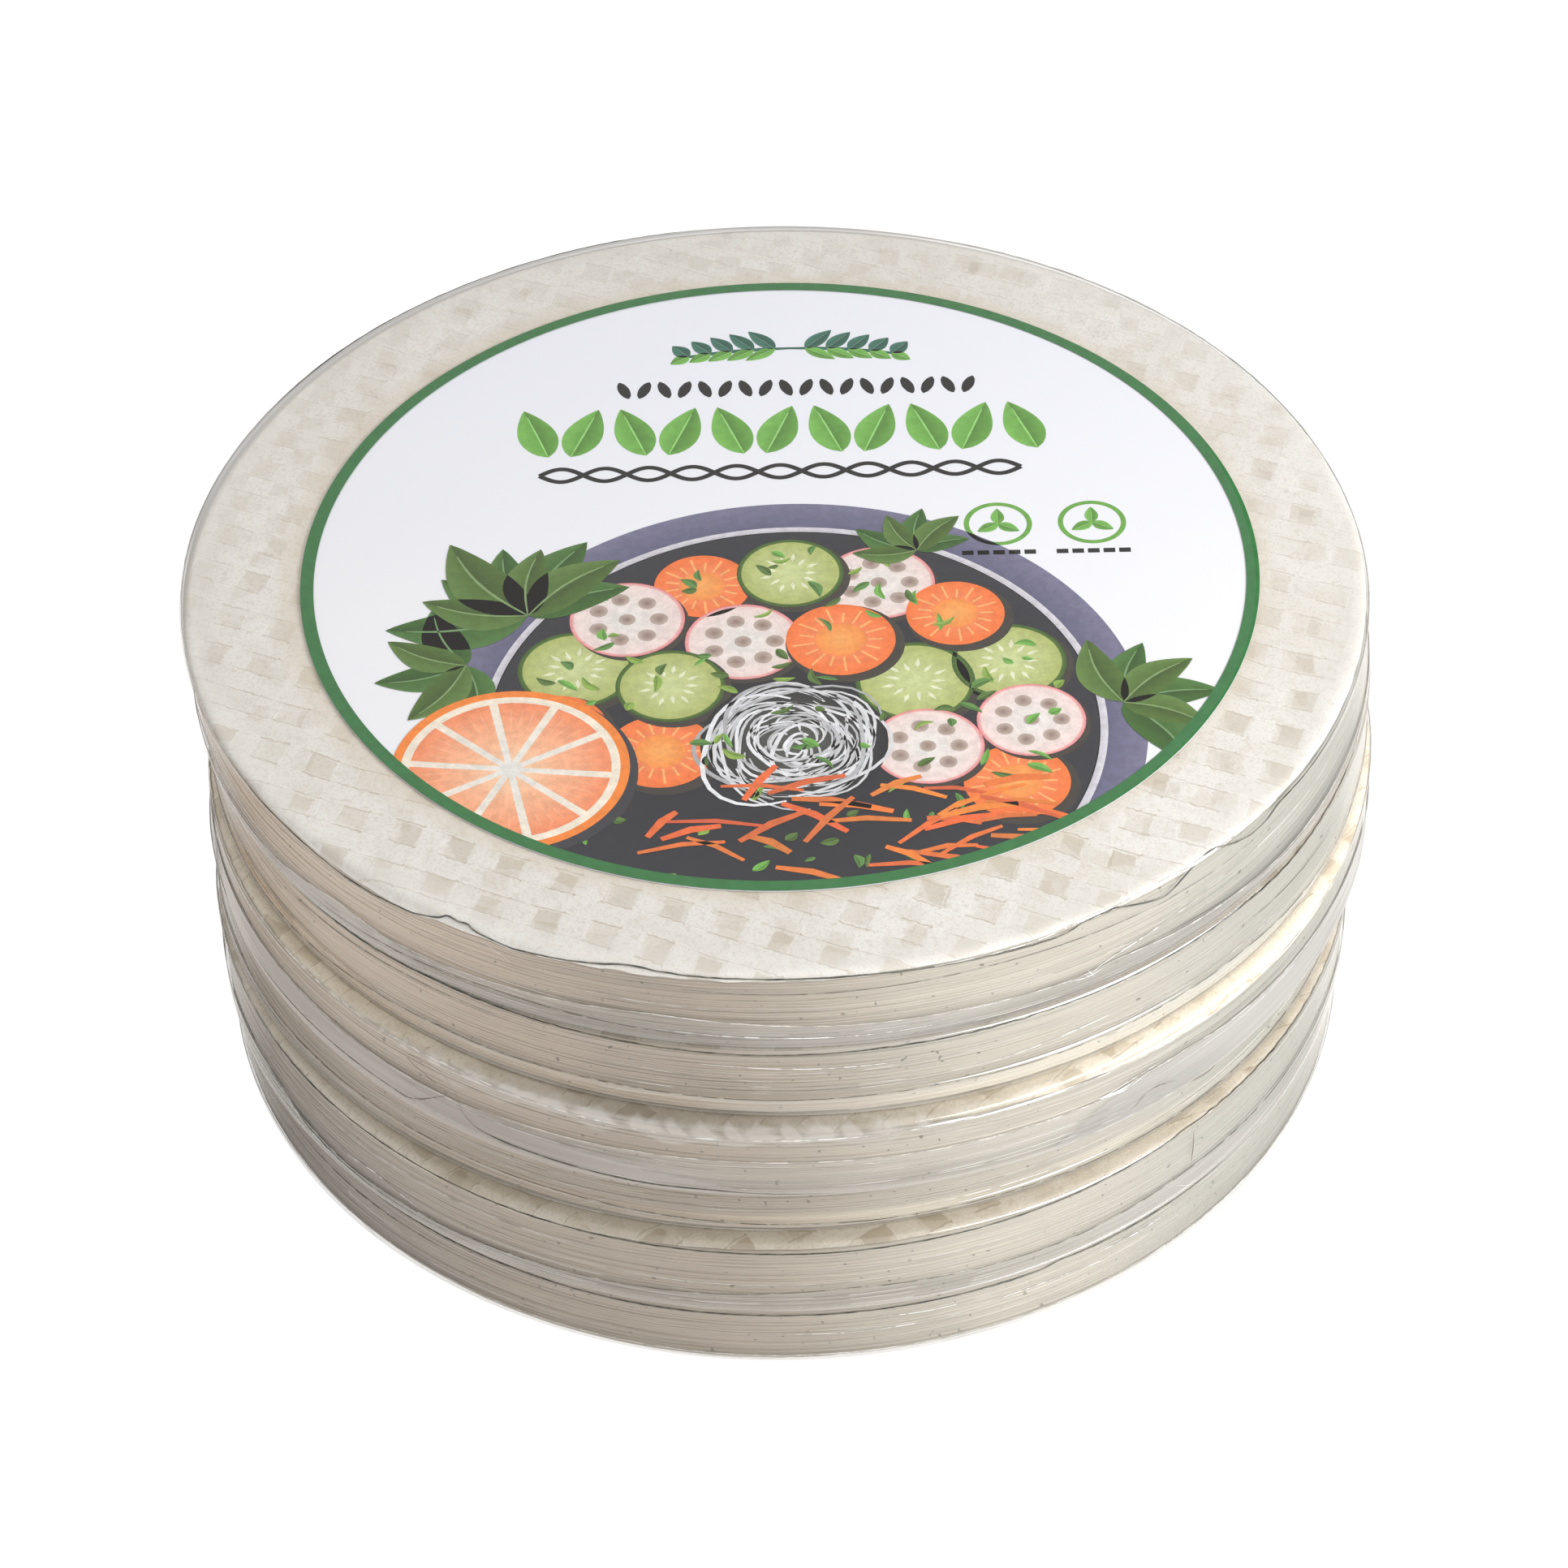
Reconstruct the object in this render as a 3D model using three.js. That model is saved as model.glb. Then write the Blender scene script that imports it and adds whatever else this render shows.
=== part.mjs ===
// A stack of six round packs of rice paper wrappers.
//
// Each pack is a pile of thin dry sheets, shrink-wrapped in clear film. The solid of a pack goes out
// to the outside of its film: a flat top, a rounded rim with the welded seam on it, a nearly plain side,
// the edge of the folded film lower down, and a softly rounded foot. The top pack carries a round label.
//
// Millimetres, +Z up, -Y towards the front. The origin is on the surface that the stack stands on,
// under the middle of the whole stack.

import * as THREE from "three";
import { mergeVertices } from "three/addons/utils/BufferGeometryUtils.js";

// ---------------------------------------------------------------- driving dimensions

const SHEET_RADIUS = 110; // a wrapper is 22 cm across
const LABEL_RADIUS = 90.25;
const LABEL_THICKNESS = 0.25;

// The packs from the top one down. They were put down one by one, so each lies a little off the others:
// right and back say where its middle is. Thicknesses are in quarter millimetres, which stay exact.
// slack is how far the film stands off the sheets at the seam, wander is how crookedly it shrank, and
// fold is how high above the foot the folded film ends.
const PACKS = [
  { name: "pack_1", thickness: 16.5, right: -1.2, back: 0.2, slack: 1.6, wander: 0.3, fold: 5.0 },
  { name: "pack_2", thickness: 16.5, right: 1.2, back: -1.2, slack: 1.1, wander: 0.4, fold: 3.6 },
  { name: "pack_3", thickness: 16.5, right: 1.0, back: -4.3, slack: 1.9, wander: 1.0, fold: 8.7 },
  { name: "pack_4", thickness: 16.25, right: -0.5, back: 1.7, slack: 1.4, wander: 0.9, fold: 3.2 },
  { name: "pack_5", thickness: 17.5, right: -0.5, back: -1.9, slack: 1.6, wander: 0.5, fold: 4.9 },
  { name: "pack_6", thickness: 16.75, right: -0.6, back: 0.5, slack: 1.1, wander: 0.5, fold: 4.6 },
];

const SIDE_INSET = 0.45; // the side lies this far inside the seam's crest
const RIM_DROP = 1.3; // from the top face down to the seam's crest
const RIM_ROUND = 1.9; // how far in from the seam the top face starts to round over
const SEAM_WIDTH = 0.5;
const FOLD_STEP = 0.25; // the folded film stands this far proud of the side
const FOOT_RISE = 0.8; // height and depth of the rounded foot
const FOOT_INSET = 0.8;

const ROUND_STEPS = 3; // facets over the rim, and over the foot
const SEGMENTS = 64; // facets round a pack
const LABEL_SEGMENTS = 96;

const OVAL = 0.3; // a pack is this much out of round
const TRIANGULAR = 0.2;
const RIPPLE = 0.6; // the seam's short waves, beside its long ones

// Each pack is turned on from the last one by so many radians: its oval, its triangular share, and the
// long and the short waves of its seam.
const OVAL_TURN = 1.3;
const TRIANGULAR_TURN = 2.1;
const WAVE_TURN = 1.7;
const RIPPLE_TURN = 0.9;

// ---------------------------------------------------------------- materials

const wrappedSheets = new THREE.MeshStandardMaterial({ color: 0xd9d3c4, roughness: 0.3, metalness: 0 });
const labelPaper = new THREE.MeshStandardMaterial({ color: 0xf1f1f3, roughness: 0.35, metalness: 0 });

// ---------------------------------------------------------------- packs

// A quarter of an ellipse from one point to another. It leaves the first one level where level is true,
// and upright where it isn't.
function quarterRound(from, to, level) {
  const points = [];
  for (let step = 0; step <= ROUND_STEPS; step++) {
    const turn = (step / ROUND_STEPS) * (Math.PI / 2);
    const out = level ? Math.sin(turn) : 1 - Math.cos(turn);
    const up = level ? 1 - Math.cos(turn) : Math.sin(turn);
    points.push(new THREE.Vector2(from.x + (to.x - from.x) * out, from.y + (to.y - from.y) * up));
  }
  return points;
}

// Half of a pack's section, from the middle of its foot up and round to the middle of its top.
function packSection(pack) {
  const crest = SHEET_RADIUS + pack.slack;
  const side = crest - SIDE_INSET;
  const top = pack.thickness;
  const seam = top - RIM_DROP;
  const at = (radius, height) => new THREE.Vector2(radius, height);
  return [
    at(0, 0),
    ...quarterRound(at(side - FOOT_INSET, 0), at(side + FOLD_STEP, FOOT_RISE), true),
    at(side + FOLD_STEP, pack.fold - SEAM_WIDTH),
    at(side, pack.fold),
    at(side, (pack.fold + seam) / 2),
    at(side, seam - 2 * SEAM_WIDTH),
    at(crest, seam - SEAM_WIDTH),
    ...quarterRound(at(crest, seam), at(crest - RIM_ROUND, top), false),
    at(0, top),
  ];
}

// The film shrinks unevenly: the outline is slightly oval, and the seam and the fold rise and fall.
// Points on the flat top and foot keep their height, so that the packs lie flat on each other.
function shrinkUnevenly(geometry, pack, number) {
  const place = geometry.attributes.position;
  const point = new THREE.Vector3();
  for (let i = 0; i < place.count; i++) {
    point.fromBufferAttribute(place, i);
    const radius = Math.hypot(point.x, point.y);
    if (radius === 0) continue;
    const angle = Math.atan2(point.y, point.x);
    const share = point.z / pack.thickness;
    const oval = OVAL * Math.cos(2 * angle + OVAL_TURN * number);
    const triangular = TRIANGULAR * Math.cos(3 * angle + TRIANGULAR_TURN * number);
    const wave = Math.sin(3 * angle + WAVE_TURN * number) + RIPPLE * Math.sin(7 * angle + RIPPLE_TURN * number);
    const grown = 1 + (oval + triangular) / radius;
    point.x *= grown;
    point.y *= grown;
    point.z += pack.wander * wave * share * (1 - share);
    place.setXYZ(i, point.x, point.y, point.z);
  }
}

function makePack(pack, number) {
  const turned = new THREE.LatheGeometry(packSection(pack), SEGMENTS);
  turned.rotateX(Math.PI / 2);
  turned.deleteAttribute("normal");
  turned.deleteAttribute("uv");
  const geometry = mergeVertices(turned);
  shrinkUnevenly(geometry, pack, number);
  geometry.computeVertexNormals();
  const mesh = new THREE.Mesh(geometry, wrappedSheets.clone());
  mesh.name = pack.name;
  return mesh;
}

// ---------------------------------------------------------------- label

function makeLabel() {
  const disc = new THREE.CylinderGeometry(LABEL_RADIUS, LABEL_RADIUS, LABEL_THICKNESS, LABEL_SEGMENTS);
  disc.rotateX(Math.PI / 2);
  disc.translate(0, 0, LABEL_THICKNESS / 2);
  const mesh = new THREE.Mesh(disc, labelPaper);
  mesh.name = "label";
  return mesh;
}

// ---------------------------------------------------------------- the stack

const stack = new THREE.Group();

let height = 0;
for (let number = PACKS.length; number >= 1; number--) {
  const pack = PACKS[number - 1];
  const mesh = makePack(pack, number);
  mesh.position.set(pack.right, pack.back, height);
  stack.add(mesh);
  height += pack.thickness;
}

const label = makeLabel();
label.position.set(0, 0, height);
stack.add(label);

// The middle of the whole stack's outline goes over the origin.
const middle = new THREE.Box3().setFromObject(stack, true).getCenter(new THREE.Vector3());
stack.position.set(-middle.x, -middle.y, 0);
stack.updateMatrixWorld(true);

export default stack;
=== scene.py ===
"""A stack of six round packs of rice paper wrappers, each shrink-wrapped in clear film.

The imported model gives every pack's place and size. Here each pack becomes a pile of thin dry sheets
with the imprint of a woven mat, inside a shell of clear film with welded seams, and the top pack gets
its printed label. Lengths are in metres.
"""

import math

import bpy
import numpy as np
from mathutils import Matrix, Vector


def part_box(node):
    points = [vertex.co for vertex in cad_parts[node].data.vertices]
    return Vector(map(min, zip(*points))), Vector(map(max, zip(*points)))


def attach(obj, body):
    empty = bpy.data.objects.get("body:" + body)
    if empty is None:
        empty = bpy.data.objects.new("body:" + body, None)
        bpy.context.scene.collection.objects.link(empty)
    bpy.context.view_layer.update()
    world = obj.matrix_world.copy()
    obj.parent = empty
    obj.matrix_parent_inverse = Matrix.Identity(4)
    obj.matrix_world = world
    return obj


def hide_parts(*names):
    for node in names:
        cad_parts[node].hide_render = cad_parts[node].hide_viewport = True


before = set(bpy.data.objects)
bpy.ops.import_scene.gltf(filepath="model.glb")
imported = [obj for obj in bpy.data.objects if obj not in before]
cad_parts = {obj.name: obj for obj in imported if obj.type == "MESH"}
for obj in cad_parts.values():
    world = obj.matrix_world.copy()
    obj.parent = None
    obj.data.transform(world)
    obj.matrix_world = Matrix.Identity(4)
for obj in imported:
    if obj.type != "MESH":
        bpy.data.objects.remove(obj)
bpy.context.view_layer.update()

MM = 0.001
TURN = 2 * math.pi

# ---------------------------------------------------------------- driving values

SHEET_SLACK = 0.94 * MM  # the film's crest stands out this far from a sheet that lies in its middle
PILE_OVAL = 0.36 * MM  # the sheets are this much wider than deep, either way
SHEET_THICKNESS = 0.455 * MM
SHEET_PITCH = 0.47 * MM
SHEET_SIDES = 180
RAGGED = 0.12 * MM  # a sheet's edge strays this far in long waves, and less in short ones
FRAYED = 0.05 * MM
RELIEF = 0.045 * MM  # height of the mat's imprint
RELIEF_ROOM = 0.06 * MM
SHEET_BENDS = (4.5 * MM, 1.6 * MM)  # where a sheet can bend, measured from its edge
FACE_RINGS = 40
FACE_SIDES = 900

FILM_SIDES = 600
FILM_GAP = 0.12 * MM  # film above the top sheet, and below the lowest one
SHOULDER = 2.2 * MM  # width of the rounded rim
SHOULDER_LEAST = 1.2 * MM  # the least that the rim falls before the side begins
SIDE_INSET = 0.45 * MM  # the most that the side lies inside the crest
FOOT_RISE = 0.25 * MM
FOOT_INSET = 0.25 * MM
FOLD_STEP = 0.2 * MM  # the folded film stands this far proud of the side
TEETH = 118 / TURN  # folds of the ruffled film, for each radian
OVAL = 0.3 * MM  # the packs are slightly out of round
TRIANGULAR = 0.2 * MM
OVAL_TURN = 1.3  # each pack is turned on from the last one by so many radians
TRIANGULAR_TURN = 2.1
FILM_CLEARANCE = 0.15 * MM  # the film's side stays this far off the sheets
SEAM_LEAST = 0.35 * MM  # no seam lies nearer to the top than this
SEAM_REACH = 2.5 * MM  # the side reaches its full inset this far below the seam
SEAM_WOBBLE = 0.3 * MM  # how far the lines stray where they aren't given
FOLD_WOBBLE = 0.45 * MM

MAT_PITCH = 5.2 * MM  # width of a strip of the woven mat that the sheets dried on
MAT_SKEW = 0.12  # the strips don't cross quite square
BELOW_TURN = 0.13  # the imprint of the sheet below is turned and shifted by so much
BELOW_SHIFT = (3.1 * MM, 2.2 * MM, 0.0)

LABEL_RADIUS = 90.2 * MM
BORDER_INNER = 87.7 * MM
LABEL_THICKNESS = 0.12 * MM
INK_STEP = 0.012 * MM  # one printed layer lies this far above the one under it

# The colours that the edges of the sheets run through from the stack's left to its right, with the places
# where each one is reached. They are the paper's own tone with painted light and shade in it: darker and
# warmer at the far left, and darker and greyer at the far right.
EDGE_TONES_AND_LIGHT = [(0.41, 0.305, 0.205), (0.54, 0.44, 0.34), (0.43, 0.36, 0.285), (0.47, 0.43, 0.36),
              (0.28, 0.27, 0.235)]
TONE_STOPS = [x * MM for x in (-104, -76, -20, 30, 92)]
# Painted light and shade on the edges: how light they are painted at the left, by the stack's foot and
# by its top, at the front and at the right, and where those three places are. The left is painted darker
# towards the foot as painted shade, and the right lighter as painted light.
LEFT_SHADES = (0.38, 1.15)
FRONT_SHADE = 0.9
RIGHT_SHADE = 1.32
SHADE_STOPS = [x * MM for x in (-100, -20, 88)]
STACK_HEIGHT = 100 * MM

# How each pack is wrapped. seam and fold are the lines of the welded seam and of the edge of the folded
# film, as degrees round the pack and millimetres under its top. Loops and welds are creases of their own,
# dim and dark. Glints and streaks are painted glints and painted highlights of the lamps on the film, as
# bright beads and broad white ones. All four are given in the same way. The film is smoky under the line
# called cloudy, and toothed at the front of its rim where it is ruffled. A ridge is a level fold at so
# many millimetres, between two angles, and so many millimetres high. shift is how far the pile lies off
# the film's middle, and lean how far aside the pack's foot stands. turn is the way the mat's strips run,
# and rim how far the rounded rim falls at most. shade, shaded, lowest and the number after them are
# painted light and shade: shade is how light the uppermost sheet is, painted darker where the pack above
# shades it, shaded how much darker it is painted at its front, under the pack above, than at its sides,
# lowest how much lighter or darker the lowest sheets are painted beside the others, and the number after
# them how much darker the foot of the side is painted.
WRAPS = {
    1: {"turn": -24, "shift": (0.12, -0.95), "lean": (1.3, -0.75), "rim": 1.9,
        "shade": 0.94, "shaded": 0.03, "lowest": 0.9, "browned": 0.95,
        "seam": [(-165, 0.4), (-149, 0.8), (-141, 1.55), (-133, 2.9), (-129.5, 3.0), (-125.5, 2.65),
                 (-123, 1.5), (-120.6, -0.4), (-118, 1.0), (-114.5, 2.0), (-110, 1.45), (-104, 0.3),
                 (-98, 0.8), (-82, 0.9), (-66, 1.8), (-64, 1.7), (-62.4, 0.7), (-58.4, 0.6), (-56, 2.2),
                 (-53.3, 3.5), (-51.3, 1.8), (-50, 0.6), (-46.6, 0.2), (-44, 1.8), (-42, 2.8),
                 (-39.5, 2.6), (-38, 1.4), (-31, 1.65), (-15, 1.4)],
        "fold": [(-155, 13.9), (-145, 13.4), (-140, 11.8), (-135, 10.6), (-129.5, 12.2), (-121, 11.9),
                 (-110, 11.1), (-102, 10.2), (-86, 11.7), (-63, 12.8), (-59, 12.2), (-50, 13.4),
                 (-38, 14.1), (-23, 13.8)],
        "streaks": [[(-63.2, 0.5), (-61, 0.45), (-58.6, 0.4)],
                    [(-51.4, 0.6), (-48.5, 0.45), (-45.8, 0.4)]],
        "glints": [[(-84, 1.2), (-74, 1.1), (-67, 1.2), (-62, 0.5), (-56, 0.4), (-48, 0.4), (-38, 0.7)],
                   [(-63.6, 13.9), (-61.6, 12.8), (-59, 11.3), (-54, 9.8), (-48.5, 8.4)],
                   [(-64.4, 12.7), (-62.2, 13.5), (-60, 12.7)],
                   [(-62, 11.9), (-61.3, 14.2)],
                   [(88, 1.0), (104, 0.8), (118, 1.0), (131, 0.7), (142, 0.9)],
                   [(147, 0.8), (158, 1.1), (168, 0.9)],
                   [(-104, 13.6), (-96, 13.9), (-84, 14.4), (-74, 14.2)]],
        "loops": [[(-141, 14.8), (-128, 14.2), (-117, 13.2), (-104, 14.0), (-90, 14.8)],
                  [(-58, 12.4), (-50, 12.6), (-42, 14.0), (-30, 14.6)],
                  [(-107, 3.4), (-90, 4.4), (-70, 3.8), (-52, 4.9), (-30, 5.3)]]},
    2: {"turn": 33, "shift": (-0.1, -0.9), "rim": 1.9,
        "shade": 0.57, "shaded": 0.06, "lowest": 1.55, "browned": 0.2,
        "seam": [(-165, 3.4), (-151, 3.2), (-146, 2.4), (-141, 2.0), (-133, 1.8), (-125, 1.1),
                 (-110, 1.1), (-94, 1.2), (-82, 0.8), (-66, 0.6), (-44, 0.6), (-38, 0.8), (-15, 0.4)],
        "fold": [(-155, 15.2), (-141, 14.1), (-133, 13.0), (-125, 12.3), (-110, 12.3), (-94, 12.5),
                 (-79, 12.1), (-62, 12.3), (-43, 12.3), (-37, 13.0), (-31, 13.2)],
        "ridges": [(11.9, -80, -45, 0.26)],
        "streaks": [[(-79, 0.37), (-72, 0.4), (-60, 0.4), (-50, 0.42), (-43.5, 0.5)],
                    [(-79, 11.8), (-66, 11.7), (-56, 11.7), (-50, 11.9)]],
        "glints": [[(-73, 9.6), (-66, 8.5), (-58, 7.5)],
                   [(-100, 4.4), (-88, 5.0), (-78, 4.9)],
                   [(-61, 12.8), (-59.6, 12.95), (-58.2, 12.8)]],
        "loops": [[(-150, 6.4), (-140, 4.6), (-126, 3.4), (-112, 3.0)],
                  [(-45, 6.0), (-33, 6.8), (-22, 7.4)]]},
    3: {"turn": 47, "shift": (0.15, -0.9), "rim": 1.9, "ruffled": True,
        "shade": 0.95, "shaded": 0.45, "lowest": 0.95, "browned": 0.5,
        "seam": [(-165, 0.5), (-143, 0.5), (-121, 0.5), (-110, 1.2), (-100, 2.1), (-78, 2.0), (-60, 2.2),
                 (-44, 2.4), (-30, 1.6), (-15, 1.0)],
        "fold": [(-141, 7.7), (-129.5, 8.6), (-123, 8.8), (-117.6, 8.0), (-106, 7.7), (-86, 7.9),
                 (-66, 8.2), (-60.8, 8.3), (-56, 6.9), (-50.6, 6.6), (-46.6, 7.4), (-38.7, 7.7)],
        "ridges": [(7.3, -61, -50, 0.3)],
        "cloudy": [(-126, 8.6), (-118, 9.6), (-110, 10.6), (-100, 13.0), (-95, 15.2), (-66, 15.6),
                   (-61, 10.0), (-57, 7.2)],
        "streaks": [[(-79, 1.65), (-76, 1.6), (-73.6, 1.65)],
                    [(-74.2, 1.85), (-68, 1.9), (-62.8, 1.8)],
                    [(-63.6, 1.45), (-56, 1.3), (-46, 1.2)],
                    [(-61.4, 7.9), (-59.6, 8.0), (-57.4, 7.6)]],
        "glints": [[(-63, 8.4), (-60.5, 8.1), (-58.5, 8.5), (-56, 7.0), (-52, 6.7)],
                   [(-61, 7.9), (-58, 6.9), (-54, 6.1)]],
        "welds": [[(-122.6, 8.4), (-122.2, 10.9), (-120.8, 13.5), (-117.6, 14.3), (-110, 15.0),
                   (-104, 15.5), (-98, 15.3), (-94, 15.7), (-86, 16.0)]],
        "loops": [[(-160, 15.2), (-149, 14.6), (-141, 14.1), (-131, 14.1), (-129, 14.7), (-127, 13.0),
                   (-125, 10.1), (-123.6, 8.3), (-126, 6.0), (-128.4, 4.2), (-128.2, 2.8), (-126.3, 1.9),
                   (-124, 3.2), (-122.6, 7.7), (-122.2, 10.9)],
                  [(-58, 15.4), (-56, 12.4), (-54.5, 11.8), (-52, 13.4)]]},
    4: {"turn": -8, "shift": (0.05, -0.9), "rim": 1.9,
        "shade": 0.75, "shaded": 0.0, "lowest": 1.5, "browned": 0.4,
        "seam": [(-165, 1.3), (-118, 0.8), (-15, 1.3)],
        "fold": [(-141, 12.1), (-125, 12.4), (-110, 13.0), (-94, 14.3), (-82, 14.8), (-54, 15.0),
                 (-30, 14.2)],
        "ridges": [(12.8, -80, -56, 0.34)],
        "streaks": [[(-75, 14.3), (-70, 14.15), (-62, 14.0), (-57, 14.1)]],
        "glints": [[(-77, 13.0), (-68, 12.8), (-61, 13.0)]],
        "loops": [[(-57, 9.4), (-55, 5.2), (-53.5, 4.5), (-50, 7.8), (-45.6, 9.9), (-43.5, 7.4),
                   (-40, 9.2)]]},
    5: {"turn": 29, "shift": (-0.15, -0.9), "rim": 1.9,
        "shade": 0.93, "shaded": 0.14, "lowest": 0.9, "browned": 0.55,
        "seam": [(-165, 0.6), (-145, 1.0), (-118, 1.8), (-86, 2.0), (-70, 1.6), (-58, 0.9), (-49, 0.5),
                 (-15, 0.5)],
        "fold": [(-158, 11.6), (-152, 11.2), (-146, 13.6), (-138, 14.9), (-128, 14.6), (-106, 13.6),
                 (-94, 12.7), (-84.5, 11.7), (-78, 12.3), (-62, 12.9), (-49, 11.8), (-31, 11.6)],
        "streaks": [[(-76, 0.6), (-70, 0.66), (-62, 0.62), (-56, 0.55), (-50, 0.5)]],
        "glints": [[(-157, 13.0), (-152, 12.4), (-148, 13.4), (-144, 15.4), (-138, 15.9)],
                   [(-140, 13.0), (-136, 11.7), (-133.6, 11.4), (-131, 12.6), (-127, 14.0)]],
        "loops": [[(-154, 15.4), (-150, 13.6), (-145, 14.4), (-140, 15.7), (-133, 15.9), (-120, 15.7)],
                  [(-47.9, 11.6), (-47.7, 6.5), (-47.8, 1.8)]]},
    6: {"turn": 71, "shift": (0.1, -0.9), "rim": 3.4,
        "shade": 0.78, "shaded": 0.44, "lowest": 1.0, "browned": 0.3,
        "seam": [(-165, 3.2), (-153, 3.6), (-133, 3.5), (-116, 3.6), (-106, 4.0), (-86, 4.2), (-65, 4.2),
                 (-63.6, 3.4), (-60, 3.7), (-46.6, 3.5), (-35.5, 2.6), (-15, 2.1)],
        "fold": [(-150, 14.9), (-110, 15.0), (-80, 15.2), (-45, 14.9)],
        "streaks": [[(-80, 2.5), (-72, 2.6), (-62, 2.55), (-50, 2.5), (-43, 2.5)]],
        "glints": [[(-84, 6.3), (-77, 7.0), (-70, 6.7)],
                   [(-73, 8.6), (-64, 8.2), (-56, 9.4)],
                   [(-60, 6.1), (-55, 6.6), (-50, 6.4)],
                   [(-92, 9.4), (-84, 9.9), (-72, 9.6)]],
        "loops": [[(-150, 6.6), (-138, 7.3), (-122, 7.0)]]},
}

PACKS = sorted(WRAPS)
PALE_SEAMS = (3,)  # the packs whose seam is pale
PALE_FOLDS = (1, 3, 6)  # and those whose folded film has a pale edge

# ---------------------------------------------------------------- small tools


def ripple(angle, seed, waves, size):
    """A smooth wobble round the pack: so many waves, from few to many a turn, about size high."""
    draw = np.random.default_rng(seed)
    total = np.zeros_like(angle)
    low, high, count = waves
    for _ in range(count):
        wave = np.sin(draw.integers(low, high + 1) * angle + draw.uniform(0, TURN))
        total = total + draw.uniform(0.4, 1) * wave
    return total * size / math.sqrt(count)


QUARTER_DEGREES = np.arange(-180, 180, 0.25)


def traced(points, seed, wobble):
    """Depths under the top, every quarter degree: through the given points, and free where there are none."""
    at, depth = zip(*points)
    free = ease((QUARTER_DEGREES - at[-1]) / 25) + ease((at[0] - QUARTER_DEGREES) / 25)
    line = np.interp(QUARTER_DEGREES, at, depth, period=360) * MM
    line = line + ripple(np.radians(QUARTER_DEGREES), seed, (2, 9, 6), wobble) * free
    return softened(np.concatenate([line[-4:], line, line[:4]]), 9)


def softened(values, width):
    """A running mean that is heavier in the middle; the ends are lost."""
    weights = np.hanning(width + 2)[1:-1]
    return np.convolve(values, weights / weights.sum(), "valid")


def read_round(line, angle):
    return np.interp(angle, np.radians(QUARTER_DEGREES), line, period=TURN)


def ease(value):
    """0 below 0 and 1 above 1, with a smooth step between."""
    share = np.clip(value, 0, 1)
    return share * share * (3 - 2 * share)


def quarter(share):
    """How far a rounded edge has turned away, 0 to 1, at a share of its width."""
    return 1 - np.sqrt(1 - np.clip(share, 0, 1) ** 2)


class Pack:
    """One pack's place and size, read from its solid, and the lines that its film follows."""

    def __init__(self, number):
        low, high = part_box(f"pack_{number}")
        bulge = Vector((math.cos(TRIANGULAR_TURN * number), math.sin(TRIANGULAR_TURN * number)))
        self.number = number
        self.centre = ((low + high) / 2).to_2d() - TRIANGULAR * bulge
        self.foot = low.z
        self.top = high.z
        self.height = high.z - low.z
        self.radius = (high.x - low.x + high.y - low.y) / 4
        self.wrap = WRAPS[number]
        self.shift = Vector(self.wrap["shift"]) * MM
        self.lean = np.array(self.wrap.get("lean", (0, 0))) * MM
        self.sheet_radius = self.radius - SHEET_SLACK
        self.seam_line = traced(self.wrap["seam"], 10 + number, SEAM_WOBBLE)
        self.fold_line = traced(self.wrap["fold"], 20 + number, FOLD_WOBBLE)

    def outline(self, angle):
        """How far out the film's crest stands."""
        oval = OVAL * np.cos(2 * angle + OVAL_TURN * self.number)
        return self.radius + oval + TRIANGULAR * np.cos(3 * angle + TRIANGULAR_TURN * self.number)

    def gap(self, angle):
        """How far the film's crest stands off the pile."""
        pile = self.sheet_radius + self.shift.x * np.cos(angle) + self.shift.y * np.sin(angle)
        pile = pile + PILE_OVAL * np.cos(2 * angle)
        return self.outline(angle) - pile

    def side(self, angle):
        """How far out the film's side stands, where it lies closest."""
        return self.outline(angle) - np.clip(self.gap(angle) - FILM_CLEARANCE, 0.03 * MM, SIDE_INSET)

    def seam(self, angle):
        """Height of the welded seam round the rim."""
        return self.top - np.maximum(read_round(self.seam_line, angle), SEAM_LEAST)

    def fold(self, angle):
        """Height of the edge of the folded film."""
        height = self.top - read_round(self.fold_line, angle)
        return np.maximum(height, self.foot + FOOT_RISE + 0.5 * MM)

    def drop(self, angle):
        """How far the rim falls before the side begins."""
        return np.clip(self.top - self.seam(angle) - 0.1 * MM, SHOULDER_LEAST, self.wrap["rim"] * MM)

    def rim_fall(self, angle, reach):
        """How far the top lies lower at a distance from the middle."""
        start = self.outline(angle) - SHOULDER
        return self.drop(angle) * quarter((reach - start) / SHOULDER)

    def foot_lift(self, angle, reach):
        start = self.side(angle) - FOOT_INSET
        return FOOT_RISE * quarter((reach - start) / FOOT_INSET)

    def skin(self, angle, height):
        """How far out the smooth film stands at a height on its side."""
        crest, side = self.outline(angle), self.side(angle)
        hug = ease((self.seam(angle) - height) / SEAM_REACH)
        turned = np.clip((self.foot + FOOT_RISE - height) / FOOT_RISE, 0, 1)
        fallen = np.clip((self.top - height) / self.drop(angle), 0, 1)
        over = SHOULDER * (1 - np.sqrt(1 - (1 - fallen) ** 2))
        return crest + (side - crest) * hug - FOOT_INSET * quarter(turned) - over


def put_in_scene(mesh, name, *materials):
    for material in materials:
        mesh.materials.append(material)
    piece = bpy.data.objects.new(name, mesh)
    bpy.context.scene.collection.objects.link(piece)
    return piece


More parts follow.
